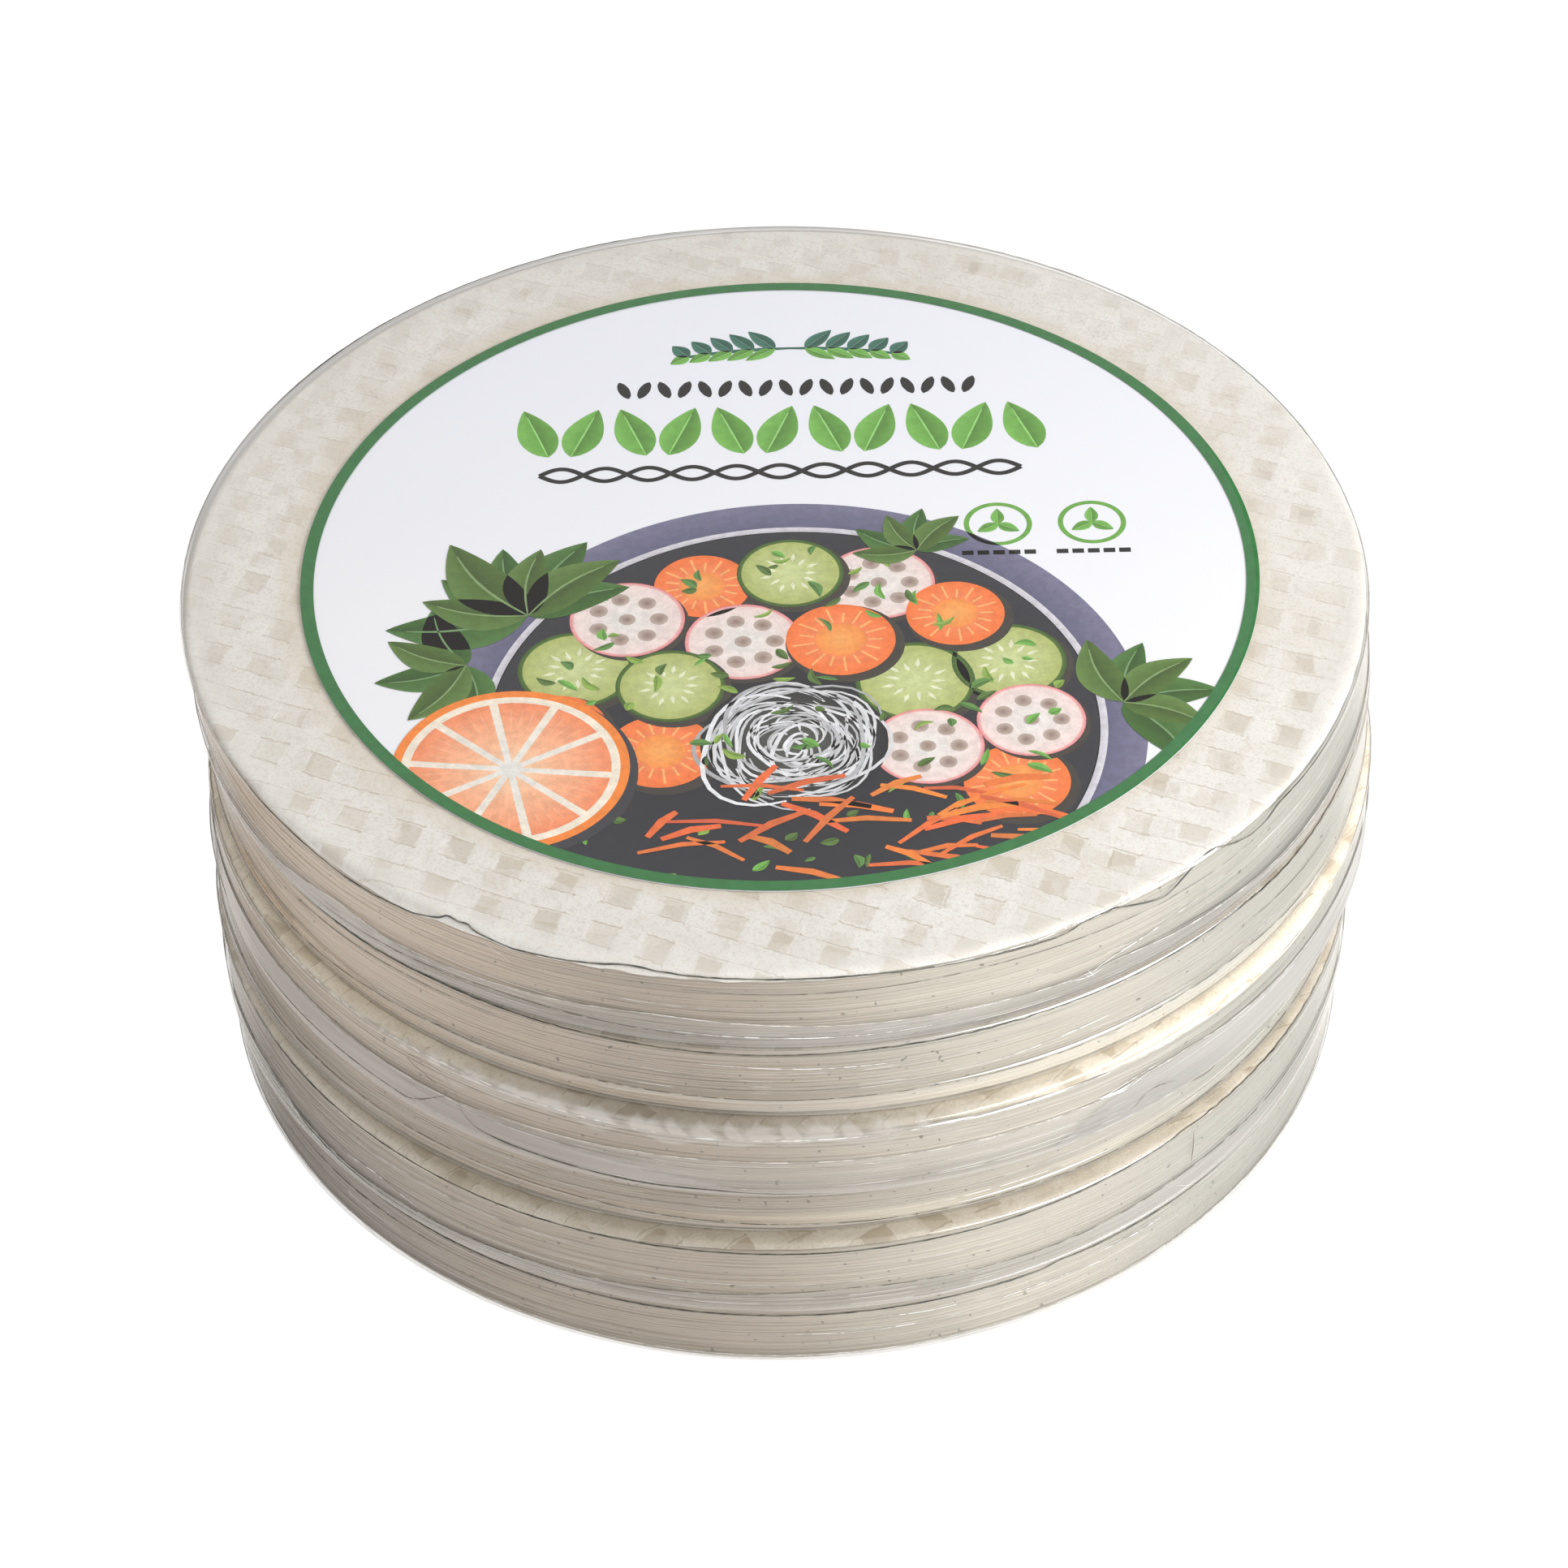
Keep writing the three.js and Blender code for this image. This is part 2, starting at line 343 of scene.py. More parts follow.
def closed_rings(name, radius, height, angle, centre):
    """A closed skin of rings round an upright axis, from the foot's middle up and over to the top's.

    Each ring is a row of radius and of height, at the given angles."""
    rings, sides = radius.shape
    points = np.empty((rings * sides + 2, 3))
    points[:-2, 0] = (centre[0] + radius * np.cos(angle)).ravel()
    points[:-2, 1] = (centre[1] + radius * np.sin(angle)).ravel()
    points[:-2, 2] = height.ravel()
    points[-2] = (*centre, height[0].mean())
    points[-1] = (*centre, height[-1].mean())
    here = np.arange(sides)
    after = (here + 1) % sides
    faces = []
    for low in range(0, (rings - 1) * sides, sides):
        high = low + sides
        faces.append(np.stack([low + here, low + after, high + after, high + here], 1))
    last = (rings - 1) * sides
    foot_fan = [(rings * sides, b, a) for a, b in zip(here.tolist(), after.tolist())]
    top_fan = [(rings * sides + 1, last + a, last + b) for a, b in zip(here.tolist(), after.tolist())]
    mesh = bpy.data.meshes.new(name)
    mesh.from_pydata(points.tolist(), [], np.concatenate(faces).tolist() + foot_fan + top_fan)
    mesh.polygons.foreach_set("use_smooth", np.ones(len(mesh.polygons), bool))
    return mesh


def bend_points(mesh, change):
    """Moves a mesh's points by a function of their array."""
    points = np.empty(len(mesh.vertices) * 3)
    mesh.vertices.foreach_get("co", points)
    mesh.vertices.foreach_set("co", change(points.reshape(-1, 3)).ravel())
    mesh.update()


def leaning(pack):
    """A change of points that moves the pack's foot aside, and its top not at all."""
    def change(points):
        share = np.clip((pack.top - points[:, 2]) / pack.height, 0, 1)
        points[:, :2] += share[:, None] * pack.lean
        return points
    return change


# ---------------------------------------------------------------- finishes


class Tone:
    """A socket of a node tree. Sums written with it add Math nodes to the tree."""

    def __init__(self, tree, socket=None):
        self.tree = tree
        self.socket = socket

    def node(self, kind, settings=None, sockets=None, out=0):
        made = self.tree.nodes.new(kind)
        for name, value in (settings or {}).items():
            setattr(made, name, value)
        for name, value in (sockets or {}).items():
            if isinstance(value, Tone):
                self.tree.links.new(value.socket, made.inputs[name])
            else:
                made.inputs[name].default_value = value
        return Tone(self.tree, made.outputs[out])

    def math(self, operation, *terms):
        return self.node("ShaderNodeMath", {"operation": operation}, dict(enumerate(terms)))

    def vector(self, operation, *terms, out=0):
        return self.node("ShaderNodeVectorMath", {"operation": operation}, dict(enumerate(terms)), out)

    def __add__(self, other):
        return self.math("ADD", self, other)

    def __sub__(self, other):
        return self.math("SUBTRACT", self, other)

    def __mul__(self, other):
        return self.math("MULTIPLY", self, other)

    def __truediv__(self, other):
        return self.math("DIVIDE", self, other)

    def __rsub__(self, other):
        return self.math("SUBTRACT", other, self)

    __radd__ = __add__
    __rmul__ = __mul__

    def floor(self):
        return self.math("FLOOR", self)

    def size(self):
        return self.math("ABSOLUTE", self)

    def root(self):
        return self.math("SQRT", self)

    def most(self, other):
        return self.math("MAXIMUM", self, other)

    def least(self, other):
        return self.math("MINIMUM", self, other)

    def off_whole(self):
        """How far this is from the nearest whole number, -0.5 to 0.5."""
        return self - (self + 0.5).floor()

    def rise(self, start, end):
        """0 at start and 1 at end, with a smooth step between; start may be the larger one."""
        settings = {"interpolation_type": "SMOOTHSTEP"}
        sockets = {"Value": self, "From Min": min(start, end), "From Max": max(start, end)}
        if start > end:
            sockets.update({"To Min": 1.0, "To Max": 0.0})
        return self.node("ShaderNodeMapRange", settings, sockets)

    def mix(self, first, second):
        """first where this is 0, and second where it is 1."""
        sockets = {0: self, 6: colour(first), 7: colour(second)}
        return self.node("ShaderNodeMix", {"data_type": "RGBA"}, sockets, out=2)

    def noise(self, at, scale, detail=3.0, roughness=0.5, out="Fac"):
        sockets = {"Vector": at, "Scale": scale, "Detail": detail, "Roughness": roughness}
        return self.node("ShaderNodeTexNoise", {}, sockets, out=out)

    def attribute(self, name):
        return self.node("ShaderNodeAttribute", {"attribute_name": name}, out="Fac")

    def reach(self):
        """How far this point is from the upright axis."""
        return self.vector("LENGTH", self.vector("MULTIPLY", self, (1, 1, 0)), out="Value")

    def spun(self, angle):
        """This point, turned about the upright axis."""
        turned = {"Vector": self, "Angle": angle}
        return self.node("ShaderNodeVectorRotate", {"rotation_type": "Z_AXIS"}, turned)

    def parts(self):
        """The three numbers of this vector."""
        made = self.tree.nodes.new("ShaderNodeSeparateXYZ")
        self.tree.links.new(self.socket, made.inputs[0])
        return [Tone(self.tree, socket) for socket in made.outputs]

    def joined(self, x, y, z):
        return self.node("ShaderNodeCombineXYZ", {}, {"X": x, "Y": y, "Z": z})

    def scaled(self, factor):
        return self.node("ShaderNodeVectorMath", {"operation": "SCALE"}, {0: self, "Scale": factor})

    def shaken(self, scale, detail, size):
        """This point, moved by noise about so far."""
        move = self.noise(self, scale, detail, 0.55, out="Color")
        return self.vector("ADD", self, self.vector("SUBTRACT", move, (0.5, 0.5, 0.5)).scaled(size))


def colour(value):
    return value if isinstance(value, Tone) else (*value, 1.0)


def new_finish(name):
    """A material with an empty tree, and a Tone to add nodes with."""
    material = bpy.data.materials.new(name)
    material.use_nodes = True
    material.node_tree.nodes.clear()
    return material, Tone(material.node_tree)


def finish_with(tone, shader):
    output = tone.tree.nodes.new("ShaderNodeOutputMaterial")
    tone.tree.links.new(shader.socket, output.inputs["Surface"])


def principled(tone, sockets):
    return tone.node("ShaderNodeBsdfPrincipled", {}, sockets, out="BSDF")


def place_on(tone):
    return tone.node("ShaderNodeTexCoord", out="Object")


def bump(tone, height, distance, strength=1.0):
    sockets = {"Height": height, "Distance": distance, "Strength": strength}
    return tone.node("ShaderNodeBump", {}, sockets, out="Normal")


def edge_tone_and_light(at):
    """The colours of the sheets' edges with their painted light and shade, joined from the stack's left to
    right.
    """
    across = at.parts()[0]
    shade = EDGE_TONES_AND_LIGHT[0]
    for begin, end, following in zip(TONE_STOPS, TONE_STOPS[1:], EDGE_TONES_AND_LIGHT[1:]):
        shade = across.rise(begin, end).mix(shade, following)
    return shade


def painted_light_across(at, shades):
    """Painted light and shade: from the first shade at the stack's left over the second one to the third."""
    across = at.parts()[0]
    left, front, right = shades
    change = across.rise(*SHADE_STOPS[:2]) * (front - left) + across.rise(*SHADE_STOPS[1:]) * (right - front)
    return left + change


def sheet_edge_finish(pack):
    """The side of the pile: translucent edges in fine level streaks, with painted shade darker low down."""
    material, tone = new_finish(f"sheet_edges_{pack.number}")
    at = place_on(tone)
    fine = tone.noise(tone.vector("MULTIPLY", at, (70, 70, 6000)), 1.0, 1.0, 0.65)
    broad = tone.noise(tone.vector("MULTIPLY", at, (25, 25, 900)), 1.0, 1.0, 0.55)
    cloud = tone.noise(at, 28.0, 1.0, 0.55)
    speck = tone.noise(at, 900.0, 0.0, 0.5)
    height = at.parts()[2] + (broad - 0.5) * (6 * MM)
    low = height.rise(pack.foot + 0.45 * pack.height, pack.foot + 0.1 * pack.height)
    up = at.parts()[2]
    # Painted light and shade across the stack: darker at its left towards the foot, lighter at its right.
    left = up.rise(0.0, STACK_HEIGHT) * (LEFT_SHADES[1] - LEFT_SHADES[0]) + LEFT_SHADES[0]
    streak = (fine * 0.6 + broad * 0.4).rise(0.36, 0.64)
    light = 0.90 + 0.13 * streak + 0.06 * cloud.rise(0.42, 0.72)
    # Painted shade: the foot of each pack's side is darker.
    light = light * (1 - low * (0.3 * pack.wrap["browned"]))
    light = light * painted_light_across(at, (left, FRONT_SHADE, RIGHT_SHADE))
    # Painted light and shade: the lowest sheets are painted lighter or darker than the others.
    lowest = up.rise(pack.foot + 4.5 * MM, pack.foot + 2.5 * MM)
    light = light * (1 + lowest * (pack.wrap["lowest"] - 1))
    base = edge_tone_and_light(at).scaled(light)
    base = (speck.rise(0.79, 0.83) * 0.7).mix(base, SPECK)
    finish_with(tone, principled(tone, {"Base Color": base, "Roughness": 0.5 - 0.1 * streak}))
    return material


def rounded(side, up):
    """How far a point is outside a box, from how far it is beyond it on either axis."""
    side, up = side.most(0.0), up.most(0.0)
    return (side * side + up * up).root()


def imprint(tone, flat, seed, faint=False):
    """The woven mat's imprint, from a point in the mat's own plane, as masks from 0 to 1.

    Clear windows and pale knots take turns in every other row. The rows between are long strips with
    rounded ends. A faint imprint has windows and knots alone."""
    x, y, _ = flat.parts()
    along = (x + y * MAT_SKEW) / (2 * MAT_PITCH)
    across = y / (2 * MAT_PITCH)
    cell = tone.joined((along + 0.5).floor(), (across + 0.5).floor(), float(seed))
    luck = tone.node("ShaderNodeTexWhiteNoise", {"noise_dimensions": "3D"}, {"Vector": cell}, out="Color")
    strength, lean, reach = luck.parts()
    up, side = across.off_whole() * 2, along.off_whole() * 2
    window_side = (side - (lean - 0.5) * 0.28).size() - (reach - 0.5) * 0.20
    window_up = (up - (reach - 0.5) * 0.22).size() - (lean - 0.5) * 0.14
    cut = (side * (lean - 0.5) + up * (strength - 0.5) + 0.07).rise(-0.02, 0.02)
    window = window_side.most(window_up).rise(0.48, 0.42) * (0.2 + 0.8 * strength) * (0.45 + 0.55 * cut)
    level = up.size()
    off_knot = rounded((along - 0.5).off_whole().size() * 2 - 0.30, level - 0.40)
    knot = off_knot.rise(0.20, 0.15) * (0.25 + 0.75 * lean)
    if faint:
        return window, knot
    off_strip = rounded((along - 0.75).off_whole().size() * 2 - 0.84, 0.66 - level)
    in_strip = level.rise(0.49, 0.51)
    rim = (off_knot - 0.16).size().rise(0.05, 0.01) * reach
    rim = rim.most((off_strip - 0.13).size().rise(0.04, 0.01) * in_strip * (0.3 + 0.7 * strength))
    joint = (level - 0.5).size().rise(0.045, 0.012) * (1 - knot)
    joint = joint.most(off_strip.rise(0.155, 0.19) * in_strip)
    strip = off_strip.rise(0.17, 0.12) * in_strip * (0.3 + 0.7 * reach)
    return window, knot, strip, rim, joint


SPECK = (0.10, 0.085, 0.06)
# Painted shadow of the label on the sheet next to it.
LABEL_PAINTED_SHADOW = (0.60, 0.51, 0.38)  # the sheet is browner next to the label
# pale strip, bright knot, clear window, brown joint and the tint at the rim, for a face in full light
# and, painted darker as painted shade, for one under the next pack
FACE_COLOURS_LIT_AND_SHADED = {"top": ((0.72, 0.68, 0.615), (0.82, 0.80, 0.76), (0.565, 0.505, 0.415), (0.46, 0.385, 0.29),
                       (0.77, 0.75, 0.70)),
               "lower": ((0.55, 0.48, 0.37), (0.70, 0.65, 0.56), (0.33, 0.26, 0.17), (0.26, 0.20, 0.12),
                         (0.55, 0.49, 0.39))}


def sheet_face_finish(pack):
    """A sheet's flat face: pale clouded strips and clearer windows, and a fainter mat showing through."""
    material, tone = new_finish(f"sheet_face_{pack.number}")
    at = place_on(tone)
    turn = math.radians(pack.wrap["turn"])
    moved = tone.vector("ADD", at, (-pack.centre[0], -pack.centre[1], 0.0))
    bent = moved.shaken(60.0, 0.0, 2.2 * MM).shaken(900.0, 0.0, 0.6 * MM)
    spun = bent.spun(-turn)
    window, knot, strip, rim, joint = imprint(tone, spun, pack.number)
    below = tone.vector("ADD", bent.spun(-turn - BELOW_TURN), BELOW_SHIFT)
    far_window, far_knot = imprint(tone, below, pack.number + 20, faint=True)

    reach = moved.reach()
    by_label = reach.rise(96 * MM, 90 * MM)
    by_rim = reach.rise(103 * MM, 109 * MM)
    bold = 0.5 + 0.5 * at.parts()[1].rise(50 * MM, -70 * MM)
    grain = tone.noise(tone.vector("MULTIPLY", spun, (90, 900, 90)), 1.0, 1.0, 0.6)
    cloud = tone.noise(at, 45.0, 1.0, 0.6)
    worm = tone.noise(at, 520.0, 2.0, 0.65)
    mottle = tone.noise(at, 2400.0, 0.0, 0.5)
    # Painted shade: the pack's shade darkens its face where the pack above shades it.
    shade = pack.wrap["shade"]
    shades = FACE_COLOURS_LIT_AND_SHADED["top" if pack.number == 1 else "lower"]
    pale, bright, clear, brown, edge = [tuple(part * shade for part in row) for row in shades]
    base = (cloud.rise(0.35, 0.68) * 0.55).mix(pale, bright)
    base = (grain.rise(0.50, 0.75) * 0.2).mix(base, clear)
    base = (far_window * 0.42).mix(base, clear)
    base = (far_knot * 0.3).mix(base, bright)
    base = (strip * 0.4 * bold).mix(base, bright)
    base = (knot * 0.5 * bold).mix(base, bright)
    base = (window * 0.85 * bold).mix(base, clear)
    base = (window * far_window * 0.5 * bold).mix(base, brown)
    base = (rim * 0.6 * bold).mix(base, bright)
    base = (joint * (0.3 + worm) * 0.85 * bold).mix(base, brown)
    base = (worm.rise(0.54, 0.68) * 0.32).mix(base, clear)
    base = (mottle.rise(0.48, 0.72) * 0.24).mix(base, brown)
    base = (by_rim * 0.3).mix(base, edge)
    # Painted shadow of the label: the sheet is darker and browner next to it.
    base = (by_label * (0.25 + worm * 0.4)).mix(base, LABEL_PAINTED_SHADOW)
    # Painted shade at the face's front, under the pack above, and painted light at its sides.
    shaded = pack.wrap["shaded"]
    base = base.scaled(painted_light_across(at, (1 + shaded, 1 - shaded, 1 + shaded)))
    finish_with(tone, principled(tone, {"Base Color": base, "Roughness": 0.5 - 0.12 * window}))
    return material


MILK = (0.68, 0.645, 0.59)
# The smoky film is darker and warmer at the stack's left: painted shade.
SMOKE = ((0.36, 0.305, 0.255), (0.42, 0.395, 0.365))  # at the stack's left and at its right
BACK_SMOKE = (0.47, 0.455, 0.44)


def film_finish():
    """Clear film: it mirrors more at a glance, and is milky in streaks where it lies in folds."""
    material, tone = new_finish("clear_film")
    at = place_on(tone)
    layers, bunched = tone.attribute("layers"), tone.attribute("bunched")
    smoky, teeth = tone.attribute("smoky"), tone.attribute("teeth")
    x, y, z = at.parts()
    facing = tone.node("ShaderNodeLayerWeight", {}, {"Blend": 0.5}, out="Facing")
    streak = tone.noise(tone.joined(x * 32, y * 32, (z + at.reach()) * 900), 1.0, 1.0, 0.55)
    cloud = tone.noise(tone.vector("MULTIPLY", at, (20, 20, 110)), 1.0, 0.0, 0.5)
    crease = bump(tone, streak * (0.1 + layers), 0.10 * MM, 0.4)
    smoke = x.rise(-95 * MM, 60 * MM).mix(*SMOKE)
    smoke = y.rise(-20 * MM, 30 * MM).mix(smoke, BACK_SMOKE)
    milk = {"Base Color": smoky.mix(MILK, smoke), "Roughness": 0.4}
    clear = tone.node("ShaderNodeBsdfTransparent", {}, {"Color": (0.99, 0.99, 0.99, 1.0)})
    around = tone.math("ARCTAN2", y, x) * TEETH
    tooth = (around + cloud * 4).off_whole().size()
    tooth = tooth.most((around * 0.57 + streak * 1.5).off_whole().size() * 0.8) * 2
    tooth = (teeth + tooth * (0.25 + 1.2 * cloud)).rise(1.0, 1.4) * teeth.rise(0.0, 0.2)
    haze = 0.004 + layers * (0.15 + 0.10 * streak.rise(0.44, 0.72) + 0.14 * cloud.rise(0.46, 0.62))
    haze = haze + bunched * (0.3 + 0.7 * streak) + smoky * 0.5
    haze = haze + tooth * 0.32 + facing.rise(0.74, 0.97) * 0.6
    body = tone.node("ShaderNodeMixShader", {}, {0: haze, 1: clear, 2: principled(tone, milk)})
    gloss = {"Color": (1.0, 0.965, 0.92, 1.0), "Roughness": 0.06, "Normal": crease}
    gloss = tone.node("ShaderNodeBsdfGlossy", {}, gloss)
    mirror = (tone.node("ShaderNodeFresnel", {}, {"IOR": 1.45, "Normal": crease}) * 1.2).least(0.10)
    finish_with(tone, tone.node("ShaderNodeMixShader", {}, {0: mirror, 1: body, 2: gloss}))
    return material


FAR_BEAD = (0.50, 0.485, 0.45)


def bead_finish(name, dark, light, scale=300.0, span=(0.40, 0.62)):
    """The melted bead of a seam, a crease's sharp ridge, or a bead of painted glints: dark in places and
    light in others, as painted shade and painted glints of clear film.

    It is painted a duller grey at the far left and right of the stack, where one looks along it."""
    material, tone = new_finish(name)
    at = place_on(tone)
    patch = tone.noise(at, scale, 2.0, 0.6)
    base = patch.rise(*span).mix(dark, light)
    # Painted grey where one looks along the bead, at the stack's far left and right.
    base = (at.parts()[0].size().rise(90 * MM, 106 * MM) * 0.8).mix(base, FAR_BEAD)
    bead = {"Base Color": base, "Roughness": 0.15 + 0.2 * patch, "Coat Weight": 0.6}
    finish_with(tone, principled(tone, bead))
    return material


def label_finish():
    """Coated white paper with a faint tooth."""
    material, tone = new_finish("label_paper")
    at = place_on(tone)
    tooth = tone.noise(at, 2200.0, 2.0, 0.6)
    cloud = tone.noise(at, 14.0, 2.0, 0.5)
    # Painted shade: the label is a little darker and bluer towards its far side.
    far = at.parts()[1].rise(-20 * MM, 80 * MM)
    base = cloud.mix((0.80, 0.80, 0.83), (0.83, 0.83, 0.855))
    base = far.mix(base, (0.795, 0.80, 0.85))
    paper = {"Base Color": base, "Roughness": 0.38 + 0.1 * tooth, "Specular IOR Level": 0.25}
    finish_with(tone, principled(tone, paper))
    return material


def ink_finish():
    """Printing ink in the colours painted on the mesh, with a little mottle."""
    material, tone = new_finish("label_ink")
    at = place_on(tone)
    ink = tone.node("ShaderNodeAttribute", {"attribute_name": "ink"}, out="Color")
    mottle = tone.noise(at, 500.0, 3.0, 0.6)
    grain = tone.noise(at, 3000.0, 1.0, 0.5)
    base = (mottle * 0.7 + grain * 0.3).rise(0.35, 0.65).mix(ink.scaled(0.82), ink)
    paper = {"Base Color": base, "Roughness": 0.45, "Specular IOR Level": 0.15}
    finish_with(tone, principled(tone, paper))
    return material


def floor_finish():
    """A pale light table: it glows a little, so that shadows on it stay faint."""
    material, tone = new_finish("pale_floor")
    cloud = tone.noise(place_on(tone), 3.0, 2.0, 0.5)
    base = cloud.mix((0.19, 0.19, 0.19), (0.21, 0.21, 0.21))
    table = {"Base Color": base, "Roughness": 0.7, "Emission Color": (1.0, 1.0, 1.0, 1.0),
             "Emission Strength": 0.92}
    finish_with(tone, principled(tone, table))
    return material


# ---------------------------------------------------------------- geometry node trees


def new_rule(name, inputs):
    """A Geometry Nodes tree with one geometry in and out, and named inputs for its sizes."""
    tree = bpy.data.node_groups.new(name, "GeometryNodeTree")
    tree.interface.new_socket("Geometry", in_out="INPUT", socket_type="NodeSocketGeometry")
    for label, kind in inputs.items():
        tree.interface.new_socket(label, in_out="INPUT", socket_type="NodeSocket" + kind)
    tree.interface.new_socket("Geometry", in_out="OUTPUT", socket_type="NodeSocketGeometry")
    given = tree.nodes.new("NodeGroupInput")
    return tree, {socket.name: Tone(tree, socket) for socket in given.outputs if socket.name}


def close_rule(tone, shape, finish):
    made = tone.node("GeometryNodeSetMaterial", {}, {"Geometry": shape, "Material": finish})
    output = tone.tree.nodes.new("NodeGroupOutput")
    tone.tree.links.new(made.socket, output.inputs[0])


def apply_rule(piece, tree, values):
    """Runs the tree on the piece and keeps what comes out as its plain mesh."""
    modifier = piece.modifiers.new(tree.name, "NODES")
    modifier.node_group = tree
    for item in tree.interface.items_tree:
        if item.in_out == "INPUT" and item.name in values:
            modifier[item.identifier] = values[item.name]
    seen = piece.evaluated_get(bpy.context.evaluated_depsgraph_get())
    made = bpy.data.meshes.new_from_object(seen)
    piece.modifiers.remove(modifier)
    piece.data = made
    return piece


def pile_rule():
    """Piles a sheet up: each copy is turned, shifted and trimmed a little, and the pile waves softly."""
    tree, given = new_rule("pile_of_sheets", {"Count": "Int", "Pitch": "Float", "Spread": "Float",
                                              "Sag": "Float", "Seed": "Int", "Finish": "Material"})
    tone = Tone(tree)
    seed = {"Seed": given["Seed"]}
    line = {"Count": given["Count"], "Offset": tone.joined(0.0, 0.0, given["Pitch"])}
    line = tone.node("GeometryNodeMeshLine", {}, line)
    shift = {0: (-1.0, -1.0, 0.0), 1: (1.0, 1.0, 0.0), **seed}
    shift = tone.node("FunctionNodeRandomValue", {"data_type": "FLOAT_VECTOR"}, shift)
    line = {"Geometry": line, "Offset": shift.scaled(given["Spread"])}
    line = tone.node("GeometryNodeSetPosition", {}, line)
    number = {"data_type": "FLOAT"}
    spin = tone.node("FunctionNodeRandomValue", number, {2: 0.0, 3: TURN, **seed}, out=1)
    trim = tone.node("FunctionNodeRandomValue", number, {2: 0.998, 3: 1.0, **seed}, out=1)
    copies = {"Points": line, "Instance": given["Geometry"], "Rotation": tone.joined(0.0, 0.0, spin),
              "Scale": tone.joined(trim, trim, 1.0)}
    copies = tone.node("GeometryNodeInstanceOnPoints", {}, copies)
    real = tone.node("GeometryNodeRealizeInstances", {}, {0: copies})
    here = tone.node("GeometryNodeInputPosition")
    wave = tone.noise(tone.vector("MULTIPLY", here, (14, 14, 120)), 1.0, 1.0, 0.5)
    lift = tone.joined(0.0, 0.0, (wave - 0.5) * given["Sag"])
    real = tone.node("GeometryNodeSetPosition", {}, {"Geometry": real, "Offset": lift})
    close_rule(tone, real, given["Finish"])
    return tree


def bead_rule():
    """Runs a thin bead along lines, now thicker and now thinner; with Taper 1 it fades out at the ends."""
    tree, given = new_rule("welded_bead", {"Thickness": "Float", "Sides": "Int", "Unevenness": "Float",
                                           "Taper": "Float", "Finish": "Material"})
    tone = Tone(tree)
    path = tone.node("GeometryNodeMeshToCurve", {}, {"Mesh": given["Geometry"]})
    ring = {"Resolution": given["Sides"], "Radius": given["Thickness"]}
    ring = tone.node("GeometryNodeCurvePrimitiveCircle", {}, ring)
    uneven = tone.noise(tone.node("GeometryNodeInputPosition"), 160.0, 3.0, 0.6)
    along = tone.node("GeometryNodeSplineParameter") * math.pi
    swell = tone.math("SINE", along)
    scale = (1 + (uneven - 0.5) * given["Unevenness"]) * (1 - given["Taper"] * (1 - swell) * 0.95)
    tube = {"Curve": path, "Profile Curve": ring, "Scale": scale, "Fill Caps": True}
    tube = tone.node("GeometryNodeCurveToMesh", {}, tube)
    smooth = tone.node("GeometryNodeSetShadeSmooth", {}, {0: tube})
    close_rule(tone, smooth, given["Finish"])
    return tree


# ---------------------------------------------------------------- sheets


def one_sheet(radius):
    """A single dry sheet about the origin: a thin disc whose edge is slightly ragged and rounded."""
    angle = np.arange(SHEET_SIDES) * TURN / SHEET_SIDES
    edge = radius - 0.2 * MM + ripple(angle, 5, (2, 7, 5), RAGGED)
    edge = edge + ripple(angle, 6, (20, 70, 12), FRAYED)
    inner, outer = SHEET_BENDS
    section = [(inner, 0.0), (outer, 0.0), (0.06 * MM, 0.0), (0.0, 0.2)]
    section += [(inset, 1 - share) for inset, share in reversed(section)]
    rings = np.array([edge - inset for inset, _ in section])
    heights = np.array([np.full(SHEET_SIDES, share * SHEET_THICKNESS) for _, share in section])
    return closed_rings("one_sheet", rings, heights, angle, (0.0, 0.0))


def squeeze(pack, low, high):
    """A change of points that presses the pile together at its rim, as the film does."""
    def change(points):
        away = points[:, :2] - np.array(pack.centre)
        reach = np.hypot(away[:, 0], away[:, 1])
        angle = np.arctan2(away[:, 1], away[:, 0])
        share = np.clip((points[:, 2] - low) / (high - low), 0, 1)
        points[:, 2] += pack.foot_lift(angle, reach) * (1 - share) - pack.rim_fall(angle, reach) * share
        return points
    return change


def pile_of_sheets(pack, rule):
    """All sheets under the uppermost one."""
    piece = put_in_scene(one_sheet(pack.sheet_radius), f"sheets_{pack.number}")
    low = pack.foot + FILM_GAP + 0.1 * MM
    high = pack.top - FILM_GAP - SHEET_THICKNESS - 0.25 * MM
    count = round((high - low) / SHEET_PITCH)
    values = {"Count": count, "Pitch": (high - low) / count, "Spread": 0.12 * MM, "Sag": 0.4 * MM,
              "Seed": pack.number, "Finish": sheet_edge_finish(pack)}
    apply_rule(piece, rule, values)
    oval = PILE_OVAL / pack.sheet_radius
    piece.data.transform(Matrix.Diagonal((1 + oval, 1 - oval, 1, 1)))
    piece.data.transform(Matrix.Translation((*(pack.centre + pack.shift), low)))
    bend_points(piece.data, squeeze(pack, low, high))
    return piece


def mat_relief(x, y, pack):
    """The same imprint as in the finish, as heights between -1 and 1."""
    turn = math.radians(pack.wrap["turn"])
    across = (-x * math.sin(turn) + y * math.cos(turn)) / (2 * MAT_PITCH)
    along = (x * math.cos(turn) + y * math.sin(turn)) / (2 * MAT_PITCH) + across * MAT_SKEW
    up = np.abs(across - np.round(across)) * 2
    window = np.maximum(up, np.abs(along - np.round(along)) * 2)
    knot = np.maximum(up - 0.1, np.abs(along - 0.5 - np.round(along - 0.5)) * 2)
    joint = np.clip((0.08 - np.abs(up - 0.5)) / 0.06, 0, 1)
    return 0.7 * np.clip((0.5 - knot) / 0.1, 0, 1) - np.clip((0.5 - window) / 0.1, 0, 1) - 0.5 * joint


